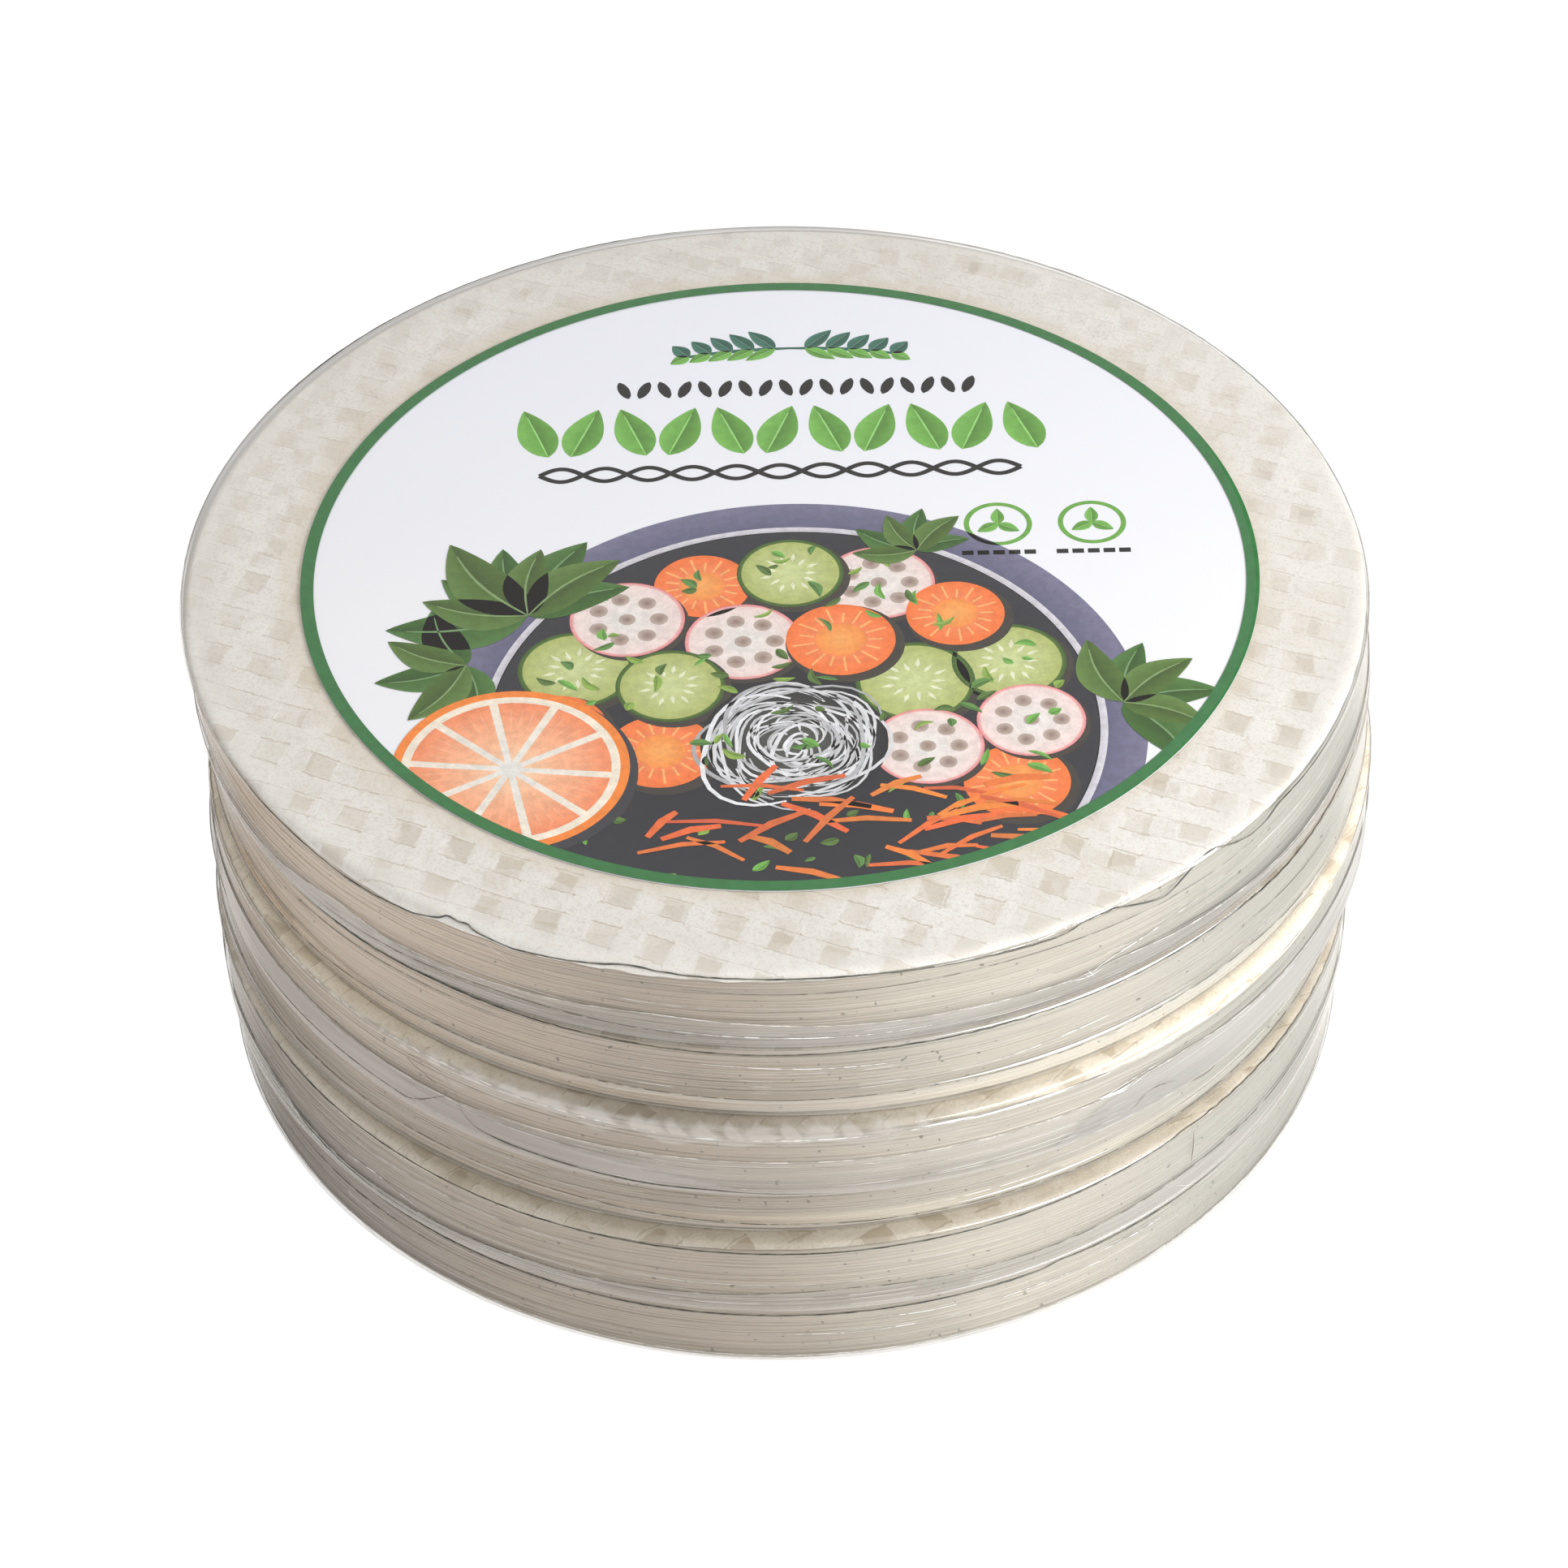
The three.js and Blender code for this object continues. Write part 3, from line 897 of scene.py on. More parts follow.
def top_sheet(pack):
    """The pack's uppermost sheet, with the imprint of the mat modelled where it can be seen."""
    seen_from = 84 * MM if pack.number == 1 else 98 * MM
    rings = round(FACE_RINGS * (pack.sheet_radius - seen_from) / (26 * MM))
    angle = np.arange(FACE_SIDES) * TURN / FACE_SIDES
    edge = pack.sheet_radius + PILE_OVAL * np.cos(2 * angle)
    edge = edge + ripple(angle, 40 + pack.number, (2, 7, 5), RAGGED)
    edge = edge + ripple(angle, 50 + pack.number, (30, 90, 10), FRAYED)
    level = pack.top - FILM_GAP - RELIEF_ROOM
    under = level - SHEET_THICKNESS
    spots = [(np.full(FACE_SIDES, seen_from), under), (edge - 3 * MM, under), (edge - 0.15 * MM, under)]
    spots += [(edge, under + 0.14 * MM), (edge, level - 0.14 * MM)]
    radius = [reach for reach, _ in spots]
    height = [np.full(FACE_SIDES, z) for _, z in spots]
    for share in np.linspace(1, 0, rings):
        ring = seen_from + (edge - 0.10 * MM - seen_from) * share
        relief = mat_relief(ring * np.cos(angle), ring * np.sin(angle), pack)
        fade = min(1.0, (1 - share) * 8) * min(1.0, share * 6)
        radius.append(ring)
        height.append(level + RELIEF * relief * fade)
    middle = pack.centre + pack.shift
    mesh = closed_rings(f"top_sheet_{pack.number}", np.array(radius), np.array(height), angle, middle)
    bend_points(mesh, squeeze(pack, pack.foot, under))
    return put_in_scene(mesh, f"top_sheet_{pack.number}", sheet_face_finish(pack))


# ---------------------------------------------------------------- film

TOP_RINGS_MM = (70, 45, 27, 24, 21.5, 19.5, 17.5, 15.5, 13.5, 11.5, 10, 8.5, 7, 5.5, 4.2, 3.2)
FOOT_RINGS_MM = (75, 40, 20, 10, 6)
TEETH_REACH = 4.6 * MM  # how far in from the rim the ruffles go
HEM = 3.7 * MM  # and about how far down the side
RUFFLE_MILK = 0.45
EMPTY_MILK = 0.72
BACK_LEFT = math.radians(140)
OVER_LABEL = 0.36 * MM  # the film is lifted so far where it runs over the label
SHOULDER_STEPS = 9
SIDE_STEPS = 12
BAND_STEPS = 12
FOOT_STEPS = 7


def wrinkle(angle, height, seed, waves):
    """Nearly level ridges of shrunk film, that run together and part again round the pack."""
    draw = np.random.default_rng(seed)
    total = np.zeros(np.broadcast(angle, height).shape)
    for _ in range(7):
        drift = draw.integers(1, waves + 1) * draw.choice((-1, 1))
        pitch = draw.uniform(0.9, 3.2) * MM
        phase = drift * angle + height * TURN / pitch + draw.uniform(0, TURN)
        total = total + np.sin(phase) * draw.uniform(0.2, 0.5)
    return total


def ridge(away, width, size):
    """A rounded ridge, from how far a point is away from its crest."""
    return size * np.exp(-((away / width) ** 2))


def film_section(pack, angle):
    """The film's rings from the foot's middle up to the top's, and how folded and how milky it is there."""
    crest, side = pack.outline(angle), pack.side(angle)
    seam, fold, drop = pack.seam(angle), pack.fold(angle), pack.drop(angle)
    foot, top = pack.foot + 0.03 * MM, pack.top - 0.03 * MM
    degrees = (np.degrees(angle) + 180) % 360 - 180
    cloudy = pack.top - read_round(traced(pack.wrap.get("cloudy", [(0, 99)]), 1, 0.0), angle)
    ruffled = ease(1.3 - np.abs(degrees + 100) / 30) if pack.wrap.get("ruffled") else 0 * angle
    hem = pack.top - HEM + ripple(angle, 140, (9, 90, 14), 2.2 * MM)
    rings, heights, layers, bunched, smoky, teeth = [], [], [], [], [], []

    def ring(radius, height, layer, milk=0.0, smoke=0.0, tooth=0.0):
        rings.append(radius + 0 * angle)
        heights.append(height + 0 * angle)
        layers.append(layer + 0 * angle)
        bunched.append(milk + 0 * angle)
        smoky.append(smoke + 0 * angle)
        teeth.append(tooth + 0 * angle)

    def on_side(height, least=0.0):
        """A ring on the side, with the seam's and the fold's ridges and the wrinkles of the film."""
        from_seam, from_fold = (height - seam) / MM, (height - fold) / MM
        folded = 1 / (1 + np.exp(np.clip(from_fold / 0.08, -40, 40)))
        out = pack.skin(angle, height) + FOLD_STEP * folded
        out = out + ridge(from_seam, 0.28, 0.10 * MM)
        out = out + ridge(from_fold, 0.22, 0.12 * MM)
        for depth, left, right, size in pack.wrap.get("ridges", []):
            from_ridge = (pack.top - height) / MM - depth
            along = ease((degrees - left) / 8) * ease((right - degrees) / 8)
            out = out + ridge(from_ridge, 0.30, size * MM) * along
        loose = ease(np.abs(from_seam) / 1.5) * (0.012 * MM + 0.04 * MM * folded)
        out = out + wrinkle(angle, height, 60 + pack.number, 7) * loose
        milk = RUFFLE_MILK * ruffled * ease((height - hem) / (0.5 * MM))
        smoke = ease((cloudy - height) / (0.5 * MM))
        ring(out, height, np.maximum(least, folded), milk, smoke)

    for inset in FOOT_RINGS_MM:
        ring(side - inset * MM, foot, 0.6)
    for step in range(FOOT_STEPS):
        bend = step / FOOT_STEPS * math.pi / 2
        out = side + FOLD_STEP - FOOT_INSET * (1 - math.sin(bend))
        ring(out, foot + FOOT_RISE * (1 - math.cos(bend)), 1.0)
    start = foot + FOOT_RISE
    for share in np.linspace(0, 1, BAND_STEPS, endpoint=False):
        on_side(start + (fold - 0.35 * MM - start) * share)
    for offset in (-0.35, -0.2, -0.1, 0.0, 0.1, 0.2, 0.4):
        on_side(fold + offset * MM)
    begin = top - drop
    weld = np.minimum(seam, begin - 0.1 * MM)
    first, last = fold + 0.4 * MM, weld - 0.6 * MM
    for share in np.linspace(0, 1, SIDE_STEPS + 1)[1:]:
        on_side(first + (last - first) * share)
    for offset in (-0.35, -0.2, -0.1, 0.0, 0.05):
        on_side(weld + offset * MM)
    for share in (0.33, 0.67):
        on_side(weld + 0.05 * MM + (begin - weld - 0.05 * MM) * share, 0.1)
    # Where the film stands well off the sheets it looks milky, and grey at the back left.
    gap = pack.gap(angle)
    grey = 0.9 * ease((np.cos(angle - BACK_LEFT) - 0.3) / 0.3)
    lifted = gap + (0.3 + 0.8 * grey) * MM
    for step in range(SHOULDER_STEPS + 1):
        bend = step / SHOULDER_STEPS * math.pi / 2
        inset = SHOULDER * (1 - math.cos(bend))
        empty = ease((gap - 0.6 * MM) / (0.5 * MM)) * ease((lifted - inset) / (0.6 * MM) + 0.5)
        milk = np.maximum(EMPTY_MILK * empty, 0.4 * RUFFLE_MILK * ruffled * math.cos(bend))
        tooth = ruffled * (1 - inset / TEETH_REACH)
        ring(crest - inset, begin + drop * math.sin(bend), 0.06 * math.cos(bend), milk, grey * empty, tooth)
    loosely = ease(ripple(angle, 120 + pack.number, (1, 7, 5), 0.8) + 0.15)
    for inset in reversed(TOP_RINGS_MM):
        radius = crest - inset * MM
        loose = ripple(angle, 70 + pack.number + int(inset), (3, 11, 5), 0.02 * MM) if inset < 20 else 0.0
        over_label = OVER_LABEL * ease((94.5 * MM - radius) / (3.5 * MM)) if pack.number == 1 else 0.0
        veil = (0.7 if pack.number == 1 else 0.2) * loosely * math.exp(-(((inset - 4.5) / 2.2) ** 2))
        tooth = ruffled * max(0.0, 1 - inset * MM / TEETH_REACH)
        ring(radius, top + loose - 0.02 * MM + over_label, veil, tooth=tooth)
    looks = {"layers": layers, "bunched": bunched, "smoky": smoky, "teeth": teeth}
    return np.array(rings), np.array(heights), looks


def film_shell(pack, finish):
    """The shrunk film round one pack, as one closed skin."""
    angle = np.arange(FILM_SIDES) * TURN / FILM_SIDES
    radius, height, looks = film_section(pack, angle)
    mesh = closed_rings(f"film_{pack.number}", radius, height, angle, pack.centre)
    for name, rings in looks.items():
        values = np.append(np.array(rings).ravel(), (rings[0][0], rings[-1][0])).astype(np.float32)
        mesh.attributes.new(name, "FLOAT", "POINT").data.foreach_set("value", values)
    return put_in_scene(mesh, f"film_{pack.number}", finish)


def lines_piece(name, lines):
    """A piece of bare lines, each a list of points and whether it ends where it began."""
    points, edges = [], []
    for line, closed in lines:
        start = len(points)
        points += line
        edges += [(start + i, start + i + 1) for i in range(len(line) - 1)]
        if closed:
            edges.append((start + len(line) - 1, start))
    mesh = bpy.data.meshes.new(name)
    mesh.from_pydata(points, edges, [])
    return put_in_scene(mesh, name)


def points_round(pack, angle, radius, height):
    x = pack.centre[0] + radius * np.cos(angle)
    y = pack.centre[1] + radius * np.sin(angle)
    return np.stack([x, y, height + 0 * angle], 1).tolist()


def bead_piece(name, lines, rule, finish, thickness, unevenness, taper=0.0, sides=5):
    """Beads along lines, as one piece."""
    values = {"Thickness": thickness, "Sides": sides, "Unevenness": unevenness, "Taper": taper,
              "Finish": finish}
    return apply_rule(lines_piece(name, lines), rule, values)


BEAD_ANGLES = np.arange(1200) * TURN / 1200


def seam_bead(pack, rule, finish):
    """The melted bead along the seam. Where the seam runs high, it lies on the rim's shoulder."""
    height = pack.seam(BEAD_ANGLES) + ripple(BEAD_ANGLES, 80 + pack.number, (60, 240, 16), 0.05 * MM)
    radius = pack.skin(BEAD_ANGLES, height) + 0.03 * MM
    line = points_round(pack, BEAD_ANGLES, radius, height)
    return bead_piece(f"seam_{pack.number}", [(line, True)], rule, finish, 0.15 * MM, 1.3, sides=6)


def fold_bead(pack, rule, finish):
    """The thin edge of the folded film."""
    height = pack.fold(BEAD_ANGLES) + ripple(BEAD_ANGLES, 90 + pack.number, (60, 240, 16), 0.04 * MM)
    radius = pack.skin(BEAD_ANGLES, height) + FOLD_STEP * 0.5 + 0.15 * MM
    line = points_round(pack, BEAD_ANGLES, radius, height)
    return bead_piece(f"fold_edge_{pack.number}", [(line, True)], rule, finish, 0.08 * MM, 1.7)


CREASES = 44


def film_creases(pack, rule, finish):
    """Creases in the film's side: long ones that run nearly level, and some short steep ones."""
    draw = np.random.default_rng(100 + pack.number)
    lines = []
    for number in range(CREASES):
        steep = number % 4 == 0
        reach = math.radians(draw.uniform(1.5, 5) if steep else draw.uniform(6, 44))
        count = 10 + int(math.degrees(reach))
        angle = draw.uniform(0, TURN) + np.linspace(0, reach, count)
        share = draw.beta(1.2, 1.9)
        base = pack.foot + FOOT_RISE * 0.8 + (pack.height - FOOT_RISE - 3.4 * MM) * share
        slope = draw.normal(0, 0.9 if steep else 0.3) * MM * np.linspace(-1, 1, count)
        height = base + slope + np.cumsum(draw.normal(0, 0.03, count)) * MM
        folded = FOLD_STEP * (height < pack.fold(angle))
        radius = pack.skin(angle, height) + folded + 0.04 * MM
        lines.append((points_round(pack, angle, radius, height), False))
    return bead_piece(f"creases_{pack.number}", lines, rule, finish, 0.035 * MM, 1.2, taper=1.0)


def drawn_creases_and_highlights(pack, kind, rule, finish, thickness):
    """Creases, and beads of painted glints and painted highlights, given point by point, smoothly joined."""
    lines = []
    for points in pack.wrap.get(kind, []):
        knots = np.arange(len(points))
        along = np.linspace(0, knots[-1], 12 * len(points))
        at, depth = (softened(np.pad(np.interp(along, knots, row), 6, "edge"), 13) for row in zip(*points))
        angle, height = np.radians(at), pack.top - depth * MM
        folded = FOLD_STEP * (height < pack.fold(angle))
        radius = pack.skin(angle, height) + folded + 0.08 * MM
        lines.append((points_round(pack, angle, radius, height), False))
    return bead_piece(f"{kind}_{pack.number}", lines, rule, finish, thickness, 1.0, taper=1.0)


# ---------------------------------------------------------------- label and its print


class Print:
    """Flat printed shapes, painted in order of their layers and kept inside the label's border."""

    def __init__(self, centre, level):
        self.centre = centre
        self.level = level
        self.points = []
        self.faces = []
        self.inks = []

    def face(self, outline, inks, layer, limit=(LABEL_RADIUS + BORDER_INNER) / 2 / MM):
        """One flat face in millimetres from the label's middle, with one ink or one for each corner."""
        if not isinstance(inks[0], tuple):
            inks = [inks] * len(outline)
        kept = keep_inside(list(zip(outline, inks)), limit)
        if len(kept) < 3:
            return
        start = len(self.points)
        for (x, y), ink in kept:
            place = (self.centre[0] + x * MM, self.centre[1] + y * MM)
            self.points.append((*place, self.level + layer * INK_STEP))
            self.inks.append((*ink, 1.0))
        self.faces.append(tuple(range(start, start + len(kept))))

    def disc(self, centre, radius, inner, outer, layer, hole=0.0, sides=48, **kept):
        """A disc or ring whose ink runs from inner to outer."""
        turns = [i * TURN / sides for i in range(sides + 1)]
        for a, b in zip(turns, turns[1:]):
            if hole:
                outline = [at_angle(centre, hole, a), at_angle(centre, radius, a),
                           at_angle(centre, radius, b), at_angle(centre, hole, b)]
                self.face(outline, [inner, outer, outer, inner], layer, **kept)
            else:
                outline = [centre, at_angle(centre, radius, a), at_angle(centre, radius, b)]
                self.face(outline, [inner, outer, outer], layer, **kept)

    def stroke(self, path, width, ink, layer, taper=0.0):
        """A band along a path of points; with taper the ends narrow to nothing."""
        count = len(path)
        rails = []
        for i, (x, y) in enumerate(path):
            ahead, behind = path[min(i + 1, count - 1)], path[max(i - 1, 0)]
            dx, dy = ahead[0] - behind[0], ahead[1] - behind[1]
            length = math.hypot(dx, dy) or 1.0
            share = i / (count - 1)
            half = width / 2 * (1 - taper + taper * math.sin(math.pi * share) ** 0.7)
            aside = (dy / length * half, dx / length * half)
            rails.append(((x - aside[0], y + aside[1]), (x + aside[0], y - aside[1])))
        for (a, b), (c, d) in zip(rails, rails[1:]):
            self.face([b, d, c, a], ink, layer)

    def leaf(self, foot, tip, width, ink, layer, bend=0.0):
        """A pointed leaf, lighter on one half, with a pale rib."""
        dx, dy = tip[0] - foot[0], tip[1] - foot[1]
        spine, halves = [], []
        for i in range(15):
            share = i / 14
            bow = bend * math.sin(math.pi * share)
            x, y = foot[0] + dx * share - dy * bow, foot[1] + dy * share + dx * bow
            half = width / 2 * math.sin(math.pi * share ** 0.8) ** 0.85
            length = math.hypot(dx, dy)
            spine.append((x, y))
            halves.append((-dy / length * half, dx / length * half))
        dark = tuple(c * 0.62 for c in ink)
        light = tuple(min(1.0, c * 1.25 + 0.02) for c in ink)
        rib = tuple(min(1.0, c * 1.5 + 0.10) for c in ink)
        for i in range(14):
            (x0, y0), (x1, y1) = spine[i], spine[i + 1]
            (u0, v0), (u1, v1) = halves[i], halves[i + 1]
            upper = [(x0, y0), (x1, y1), (x1 + u1, y1 + v1), (x0 + u0, y0 + v0)]
            lower = [(x1, y1), (x0, y0), (x0 - u0, y0 - v0), (x1 - u1, y1 - v1)]
            self.face(upper, [ink, ink, light, light], layer)
            self.face(lower, [dark, dark, ink, ink], layer)
        self.stroke(spine[:13], width * 0.05, rib, layer + 0.4, taper=0.6)

    def piece(self, name, finish):
        mesh = bpy.data.meshes.new(name)
        mesh.from_pydata(self.points, [], self.faces)
        paint = mesh.color_attributes.new("ink", "FLOAT_COLOR", "POINT")
        paint.data.foreach_set("color", np.array(self.inks, np.float32).ravel())
        return put_in_scene(mesh, name, finish)


def at_angle(centre, radius, angle):
    return (centre[0] + radius * math.cos(angle), centre[1] + radius * math.sin(angle))


def keep_inside(corners, limit, sides=120):
    """Clips a face to a round limit, corner by corner; inks are carried along."""
    if all(math.hypot(*place) <= limit for place, _ in corners):
        return corners
    for i in range(sides):
        turn = i * TURN / sides
        nx, ny = math.cos(turn), math.sin(turn)
        over = [place[0] * nx + place[1] * ny - limit for place, _ in corners]
        if all(value <= 0 for value in over):
            continue
        kept = []
        for j, (place, ink) in enumerate(corners):
            before, was, old = corners[j - 1][0], over[j - 1], corners[j - 1][1]
            if (was <= 0) != (over[j] <= 0):
                share = was / (was - over[j])
                cut = tuple(a + (b - a) * share for a, b in zip(before, place))
                kept.append((cut, tuple(a + (b - a) * share for a, b in zip(old, ink))))
            if over[j] <= 0:
                kept.append((place, ink))
        corners = kept
        if not corners:
            return []
    return corners


LEAF_GREEN = (0.155, 0.40, 0.065)
DARK_GREEN = (0.035, 0.145, 0.10)
BORDER_GREEN = (0.040, 0.185, 0.055)
BLACK = (0.012, 0.012, 0.012)
SLATE = (0.13, 0.125, 0.21)
CHARCOAL = (0.018, 0.018, 0.022)
CREAM = (0.80, 0.78, 0.74)
CARROT = (0.90, 0.20, 0.045)
PEACH = (0.90, 0.30, 0.14)
BLUSH = (0.85, 0.50, 0.47)
MOSS = (0.09, 0.17, 0.03)
CELERY = (0.42, 0.47, 0.14)


def print_border(art):
    edge = LABEL_RADIUS / MM
    hole = BORDER_INNER / MM
    art.disc((0, 0), edge - 0.02, BORDER_GREEN, BORDER_GREEN, 13, hole=hole, sides=240, limit=edge)


def print_crest(art):
    """A sprig of leaves in two greens at the head of the label."""
    for side in (-1, 1):
        stem = [(3 + side * 22 * t, 68 - 2.6 * t * t) for t in (0, 0.25, 0.5, 0.75, 1)]
        art.stroke(stem, 1.1, DARK_GREEN, 1, taper=0.4)
        for i in range(5):
            x = 3 + side * (3.0 + 4.3 * i)
            y = 68 - 2.6 * ((x - 3) / 22) ** 2
            reach = 7.4 - 0.7 * i
            art.leaf((x, y), (x + side * reach * 0.72, y + reach * 0.80), 3.4, DARK_GREEN, 2)
            art.leaf((x, y), (x + side * reach * 0.80, y - reach * 0.52), 2.8, LEAF_GREEN, 2)


def print_grain_row(art, centre, span, count, length, width, ink, lean):
    """A row of leaning rice grains."""
    for i in range(count):
        x = centre[0] + span * (i / (count - 1) - 0.5)
        tilt = lean if i % 2 else -lean
        dx, dy = length / 2 * math.sin(tilt), length / 2 * math.cos(tilt)
        path = [(x + dx * t, centre[1] + dy * t) for t in (-1, -0.7, -0.3, 0, 0.3, 0.7, 1)]
        art.stroke(path, width, ink, 1, taper=0.85)


def print_garland(art):
    """A band of broad leaves leaning to and fro across the label."""
    count = 11
    for i in range(count):
        x = -47 + 95 * i / (count - 1)
        lean = 2.6 if i % 2 else -2.6
        art.leaf((x - lean, 34), (x + lean, 49), 7.6, LEAF_GREEN, 1)


def print_twist(art):
    """Two thin lines twisted round each other."""
    for sign in (-1, 1):
        steps = [i / 120 for i in range(121)]
        path = [(-46 + 93 * t, 28.2 + sign * 2.0 * math.sin(t * 11 * math.pi)) for t in steps]
        art.stroke(path, 1.15, BLACK, 1 if sign < 0 else 2)


def print_badges(art):
    for x in (41.7, 59.6):
        art.disc((x, 10.6), 6.5, LEAF_GREEN, LEAF_GREEN, 1, hole=5.5)
        for turn in range(3):
            angle = math.pi / 2 + turn * TURN / 3
            art.leaf((x, 10.6), at_angle((x, 10.6), 4.6, angle), 2.6, LEAF_GREEN, 2)
        for part in range(5):
            left = x - 7.2 + part * 2.95
            art.stroke([(left, 2.0), (left + 2.2, 2.0)], 1.3, BLACK, 1)


PLATE = (2, -46)


def print_plate(art):
    art.disc(PLATE, 64, SLATE, (0.20, 0.19, 0.29), 1, hole=56, sides=140)
    art.disc(PLATE, 56.8, (0.55, 0.53, 0.58), (0.70, 0.68, 0.72), 2, hole=55.2, sides=140)
    art.disc(PLATE, 55.4, CHARCOAL, (0.035, 0.035, 0.045), 2, sides=140)


def print_onion(art, place, size, layer):
    """A pale round slice with a pink rim and a ring of holes."""
    art.disc(place, size, CREAM, (0.86, 0.68, 0.64), layer)
    art.disc(place, size, BLUSH, (0.78, 0.24, 0.26), layer + 0.4, hole=size * 0.93)
    for hole in range(7):
        spot = at_angle(place, size * 0.55, hole * TURN / 7)
        art.disc(spot, size * 0.16, (0.30, 0.20, 0.17), (0.52, 0.42, 0.36), layer + 0.6, sides=16)
    art.disc(place, size * 0.15, (0.30, 0.20, 0.17), (0.52, 0.42, 0.36), layer + 0.6, sides=16)


def print_carrot(art, place, size, layer):
    art.disc(place, size * 0.92, PEACH, CARROT, layer)
    art.disc(place, size * 0.42, (0.93, 0.42, 0.12), (0.90, 0.30, 0.07), layer + 0.4)
    for spoke in range(17):
        angle = spoke * TURN / 17
        ray = [at_angle(place, size * 0.45, angle), at_angle(place, size * (0.7 + 0.12 * (spoke % 2)), angle)]
        art.stroke(ray, 0.45, (0.95, 0.45, 0.16), layer + 0.6)


def print_cucumber(art, place, size, layer):
    art.disc(place, size * 0.96, (0.62, 0.68, 0.34), CELERY, layer)
    art.disc(place, size * 0.96, MOSS, (0.05, 0.11, 0.02), layer + 0.4, hole=size * 0.88)
    for seed in range(13):
        angle = seed * TURN / 13
        first = 0.26 + 0.08 * (seed % 2)
        pip = [at_angle(place, size * (first + more), angle) for more in (0, 0.08, 0.22)]
        art.stroke(pip, 0.9, (0.78, 0.80, 0.55), layer + 0.6, taper=0.9)


def print_slices(art):
    """Vegetable slices laid in arcs on the plate, each with its shadow."""
    draw = np.random.default_rng(3)
    kinds = (print_onion, print_carrot, print_cucumber)
    for row, (reach, count, start, sweep) in enumerate(((43, 11, 203, 226), (25, 6, 196, 212))):
        for i in range(count):
            place = at_angle(PLATE, reach, math.radians(start - sweep * i / (count - 1)))
            size = 10.6 + draw.uniform(-0.9, 0.9)
            layer = 4 + (i % 2) * 1.6
            under = (place[0] + 0.8, place[1] - 1.1)
            art.disc(under, size, (0.03, 0.025, 0.02), (0.06, 0.05, 0.04), layer - 0.4)
            kinds[(i + row) % 3](art, place, size, layer)


def print_leaves(art):
    """Sprays of leaves at the plate's edges."""
    draw = np.random.default_rng(11)
    sprays = (((-47, -14), 105, 9, 27), ((-58, -28), 195, 5, 20), ((26, 3), 100, 6, 14),
              ((62, -42), 25, 6, 21))
    for foot, heading, count, length in sprays:
        for i in range(count):
            angle = math.radians(heading + 165 * (i / (count - 1) - 0.5))
            reach = length * draw.uniform(0.72, 1.0)
            tip = at_angle(foot, reach, angle)
            ink = MOSS if i % 2 else (0.055, 0.15, 0.025)
            art.leaf(foot, tip, reach * 0.44, ink, 9.4 + (i % 2) * 0.5, bend=0.08)


def print_flecks(art):
    """Chopped herbs strewn over the slices."""
    draw = np.random.default_rng(31)
    greens = (LEAF_GREEN, MOSS, (0.24, 0.38, 0.06), (0.10, 0.24, 0.05))
    for i in range(110):
        place = at_angle(PLATE, 52 * math.sqrt(draw.uniform(0, 1)), draw.uniform(0, TURN))
        tip = at_angle(place, draw.uniform(2.0, 5.2), draw.uniform(0, TURN))
        width, bend = draw.uniform(0.9, 2.0), draw.uniform(-0.2, 0.2)
        art.leaf(place, tip, width, greens[i % 4], 8 + 0.3 * (i % 3), bend)


def print_noodles(art):
    """A nest of thin pale noodles in the middle of the plate."""
    draw = np.random.default_rng(8)
    art.disc((2, -51), 17, (0.10, 0.10, 0.09), CHARCOAL, 6.6)
    for _ in range(60):
        reach, start = draw.uniform(2, 16), draw.uniform(0, TURN)
        middle = (2 + draw.uniform(-3, 3), -51 + draw.uniform(-3, 3))
        sweep = np.linspace(0, draw.uniform(1.5, 4), 18)
        path = [at_angle(middle, reach * (1 + 0.1 * math.sin(3 * t)), start + t) for t in sweep]
        shade, width = draw.uniform(0.40, 0.85), draw.uniform(0.5, 0.9)
        art.stroke(path, width, (shade, shade, shade * 1.02), 7 + 0.2 * draw.integers(0, 6), taper=0.5)


def print_sticks(art):
    """Orange sticks strewn over the near side."""
    draw = np.random.default_rng(21)
    for _ in range(40):
        x, y, angle = draw.uniform(-26, 42), draw.uniform(-86, -62), draw.uniform(-0.6, 1.0)
        length = draw.uniform(8, 18)
        dx, dy = math.cos(angle) * length, math.sin(angle) * length
        shade = draw.uniform(0.75, 1.0)
        ink = (CARROT[0] * shade, CARROT[1] * shade * draw.uniform(0.8, 1.4), CARROT[2])
        layer = 9 + draw.integers(0, 6) * 0.3
        path = [(x, y), (x + dx / 2, y + dy / 2 + 0.8), (x + dx, y + dy)]
        art.stroke(path, draw.uniform(1.0, 1.9), ink, layer, taper=0.35)


def print_halved_fruit(art):
    """A halved citrus fruit at the near left."""
    centre = (-49, -57)
    art.disc((centre[0] + 1, centre[1] - 1.4), 22, (0.03, 0.03, 0.03), (0.05, 0.05, 0.06), 10, sides=72)
    art.disc(centre, 21.5, (0.93, 0.42, 0.10), (0.90, 0.25, 0.04), 11, sides=72)
    art.disc(centre, 19.8, CREAM, (0.90, 0.80, 0.66), 11.5, sides=72)
    for part in range(10):
        angle = part * TURN / 10 + 0.2
        half = TURN / 10 * 0.43
        rim = [at_angle(centre, 18.2, angle + half * t) for t in (-1, -0.5, 0, 0.5, 1)]
        art.face([at_angle(centre, 2.0, angle), *rim], [(0.95, 0.62, 0.40)] + [PEACH] * 5, 12)
        for vein in (-0.5, 0.0, 0.5):
            ray = [at_angle(centre, share * 18.2, angle + half * vein) for share in (0.35, 0.6, 0.9)]
            art.stroke(ray, 0.5, (0.93, 0.45, 0.26), 12.4, taper=0.8)


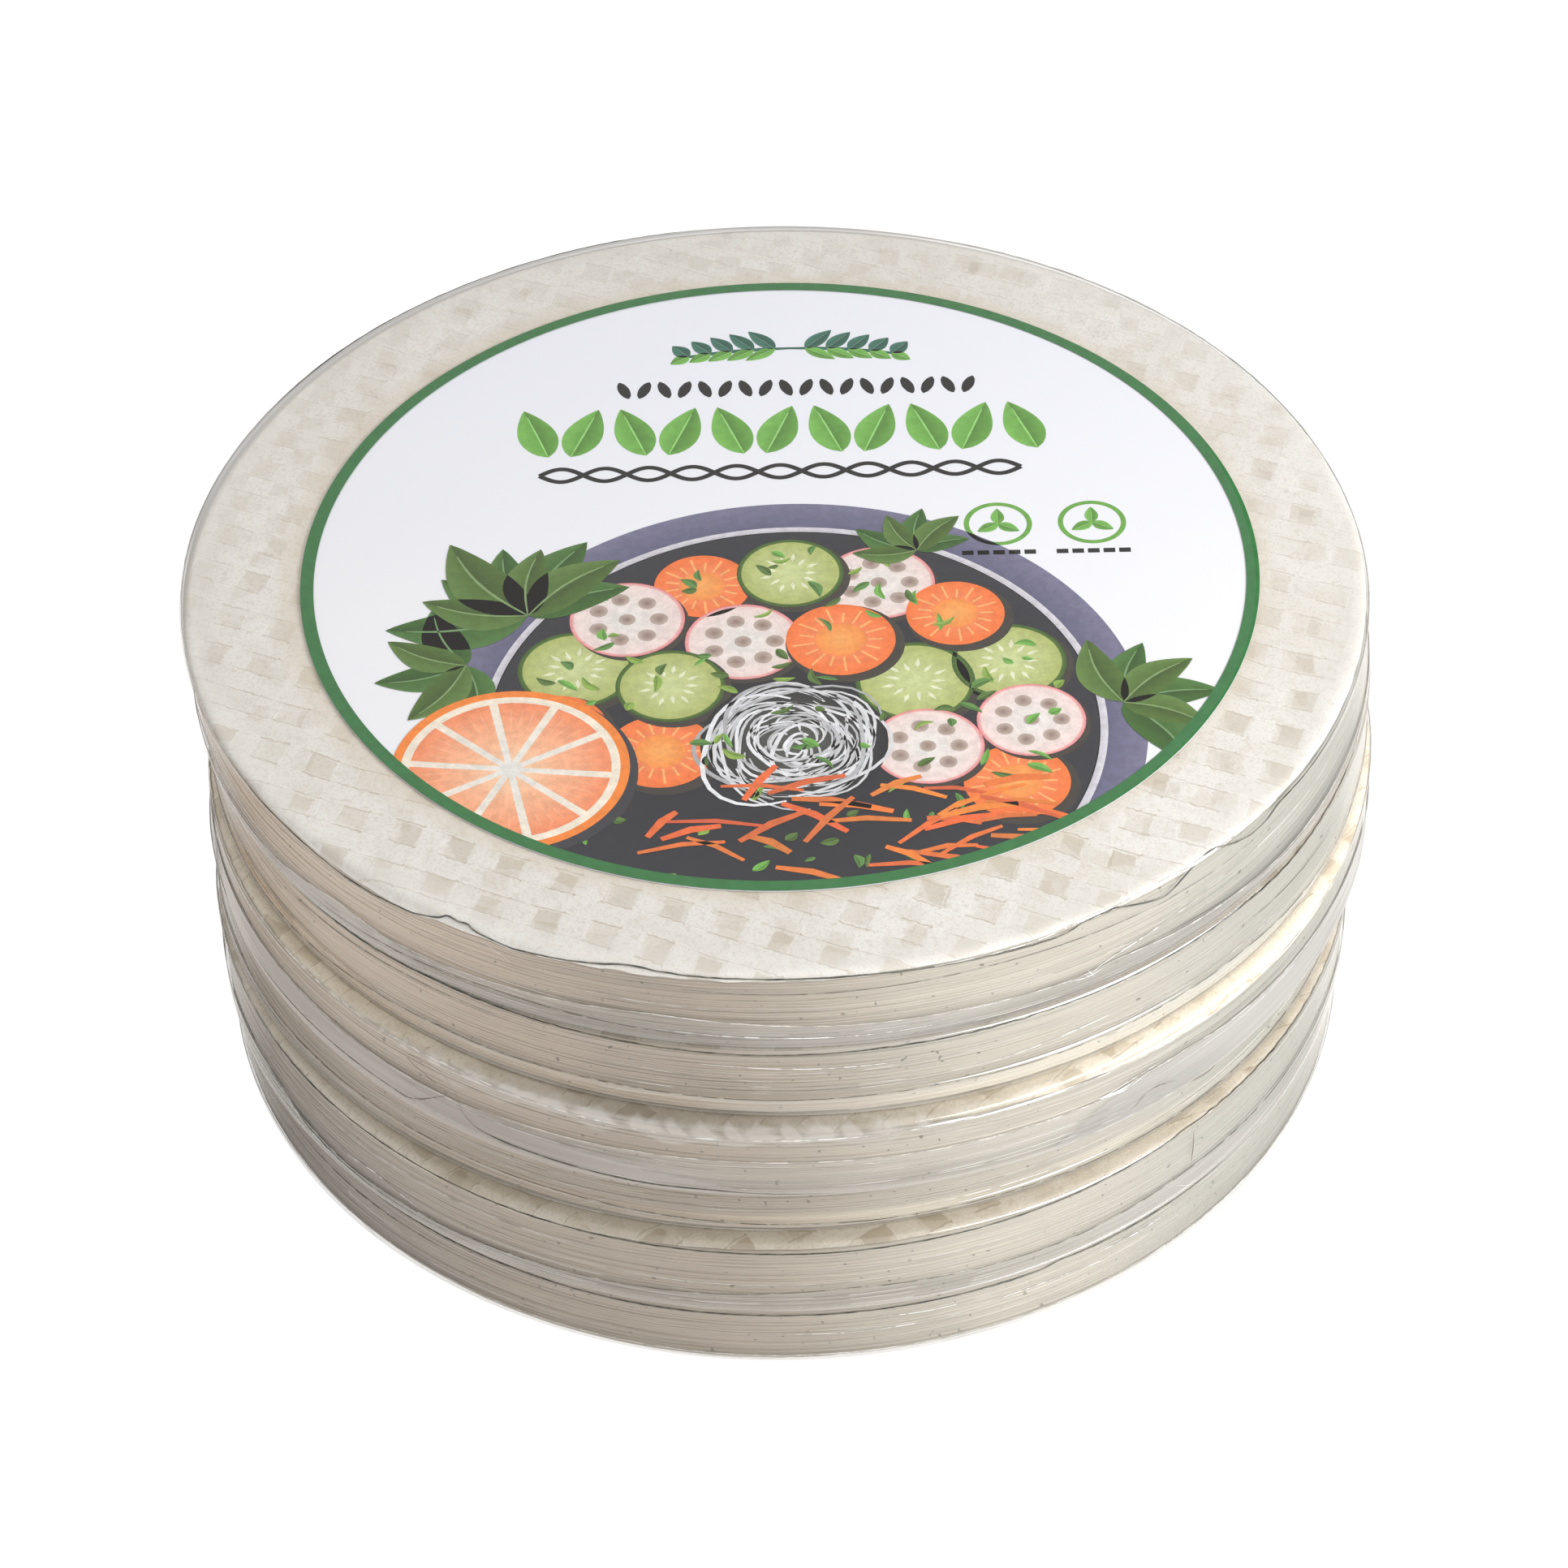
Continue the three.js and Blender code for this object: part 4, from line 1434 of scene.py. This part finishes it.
def make_label(finish, ink):
    low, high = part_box("label")
    middle = ((low + high) / 2).to_2d()
    angle = np.arange(240) * TURN / 240
    radius = np.array([np.full(240, LABEL_RADIUS), np.full(240, LABEL_RADIUS)])
    height = np.array([np.full(240, low.z), np.full(240, low.z + LABEL_THICKNESS)])
    mesh = closed_rings("label_disc", radius, height, angle, middle)
    mesh.polygons.foreach_set("use_smooth", np.zeros(len(mesh.polygons), bool))
    disc = put_in_scene(mesh, "label_disc", finish)
    art = Print(middle, low.z + LABEL_THICKNESS + 0.01 * MM)
    print_crest(art)
    print_grain_row(art, (4, 55), 68, 18, 5.6, 2.3, BLACK, 0.35)
    print_garland(art)
    print_twist(art)
    print_badges(art)
    print_plate(art)
    print_leaves(art)
    print_slices(art)
    print_flecks(art)
    print_noodles(art)
    print_sticks(art)
    print_halved_fruit(art)
    print_border(art)
    return disc, art.piece("label_print", ink)


# ---------------------------------------------------------------- the part

pile, bead = pile_rule(), bead_rule()
film = film_finish()
# The beads are clear film: their dark colours are painted shade, and their light ones painted glints.
dark_seam = bead_finish("film_seam", (0.035, 0.034, 0.024), (0.14, 0.13, 0.095))
pale_seam = bead_finish("film_seam_pale", (0.40, 0.37, 0.33), (0.70, 0.68, 0.64))
folds = bead_finish("film_fold", (0.10, 0.095, 0.075), (0.42, 0.40, 0.35), span=(0.48, 0.64))
# Painted glints: the light patches of the creases, the glints, and the broad white streaks of light.
creases = bead_finish("film_crease_and_glint", (0.34, 0.325, 0.29), (0.84, 0.83, 0.81), scale=70.0, span=(0.43, 0.50))
glints = bead_finish("film_glint", (0.50, 0.48, 0.45), (0.95, 0.95, 0.95), scale=350.0, span=(0.46, 0.54))
streaks = bead_finish("film_streak", (0.90, 0.90, 0.89), (0.96, 0.96, 0.96))
drawn_kinds = {"loops": (folds, 0.07 * MM), "welds": (dark_seam, 0.13 * MM), "glints": (glints, 0.08 * MM),
               "streaks": (streaks, 0.25 * MM)}

for number in PACKS:
    pack = Pack(number)
    made = {"rice_paper": [pile_of_sheets(pack, pile), top_sheet(pack)],
            "clear_film": [film_shell(pack, film),
                           seam_bead(pack, bead, pale_seam if number in PALE_SEAMS else dark_seam),
                           fold_bead(pack, bead, pale_seam if number in PALE_FOLDS else folds),
                           film_creases(pack, bead, creases)]}
    for kind, (finish, thickness) in drawn_kinds.items():
        if kind in pack.wrap:
            made["clear_film"].append(drawn_creases_and_highlights(pack, kind, bead, finish, thickness))
    for slot, pieces in made.items():
        for piece in pieces:
            bend_points(piece.data, leaning(pack))
            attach(piece, "root")
            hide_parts(f"pack_{number}")

for piece in make_label(label_finish(), ink_finish()):
    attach(piece, "root")
    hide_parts("label")

# ---------------------------------------------------------------- stage, light and camera

FLOOR_HALF = 6.0


def make_floor():
    mesh = bpy.data.meshes.new("floor")
    corners = [(x * FLOOR_HALF, y * FLOOR_HALF, 0.0) for x, y in ((-1, -1), (1, -1), (1, 1), (-1, 1))]
    mesh.from_pydata(corners, [], [(0, 1, 2, 3)])
    put_in_scene(mesh, "floor", floor_finish())


def soft_box(name, azimuth, elevation, distance, size, power, shade):
    """A rectangular light that looks at the stack."""
    lamp = bpy.data.lights.new(name, "AREA")
    lamp.shape = "RECTANGLE"
    lamp.size, lamp.size_y = size
    lamp.energy = power
    lamp.color = shade
    level, up = math.radians(azimuth), math.radians(elevation)
    aim = Vector((0.0, 0.0, 0.06))
    away = Vector((math.cos(level) * math.cos(up), math.sin(level) * math.cos(up), math.sin(up)))
    holder = bpy.data.objects.new(name, lamp)
    turned = (-away).to_track_quat("-Z", "Y").to_matrix().to_4x4()
    holder.matrix_world = Matrix.Translation(aim + away * distance) @ turned
    bpy.context.scene.collection.objects.link(holder)


def make_light():
    world = bpy.data.worlds.new("studio")
    world.use_nodes = True
    sky = world.node_tree.nodes["Background"]
    sky.inputs["Color"].default_value = (1.0, 1.0, 1.0, 1.0)
    sky.inputs["Strength"].default_value = 0.68
    bpy.context.scene.world = world
    soft_box("overhead", -20, 70, 1.3, (1.2, 1.2), 2.0, (1.0, 1.0, 1.0))
    soft_box("key", -33, 34, 0.70, (0.74, 0.25), 4.8, (0.98, 0.99, 1.0))


FOCAL_PIXELS = 5588
FRAME_PIXELS = 1932
SENSOR = 36.0
CAMERA_BACK, CAMERA_UP = 664.4 * MM, 539.8 * MM
CAMERA_DOWN = math.radians(41.87)
CAMERA_ROLL = math.radians(-1.18)


def make_camera():
    low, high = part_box("label")
    middle = (low + high) / 2
    camera = bpy.data.cameras.new("camera")
    camera.sensor_width = SENSOR
    camera.lens = FOCAL_PIXELS / FRAME_PIXELS * SENSOR
    camera.clip_start = 0.05
    holder = bpy.data.objects.new("camera", camera)
    place = Vector((middle.x, middle.y - CAMERA_BACK, low.z + CAMERA_UP))
    tilt = Matrix.Rotation(math.pi / 2 - CAMERA_DOWN, 4, "X")
    holder.matrix_world = Matrix.Translation(place) @ tilt @ Matrix.Rotation(CAMERA_ROLL, 4, "Z")
    bpy.context.scene.collection.objects.link(holder)
    bpy.context.scene.camera = holder


make_floor()
make_light()
make_camera()
bpy.context.scene.view_settings.view_transform = "Standard"
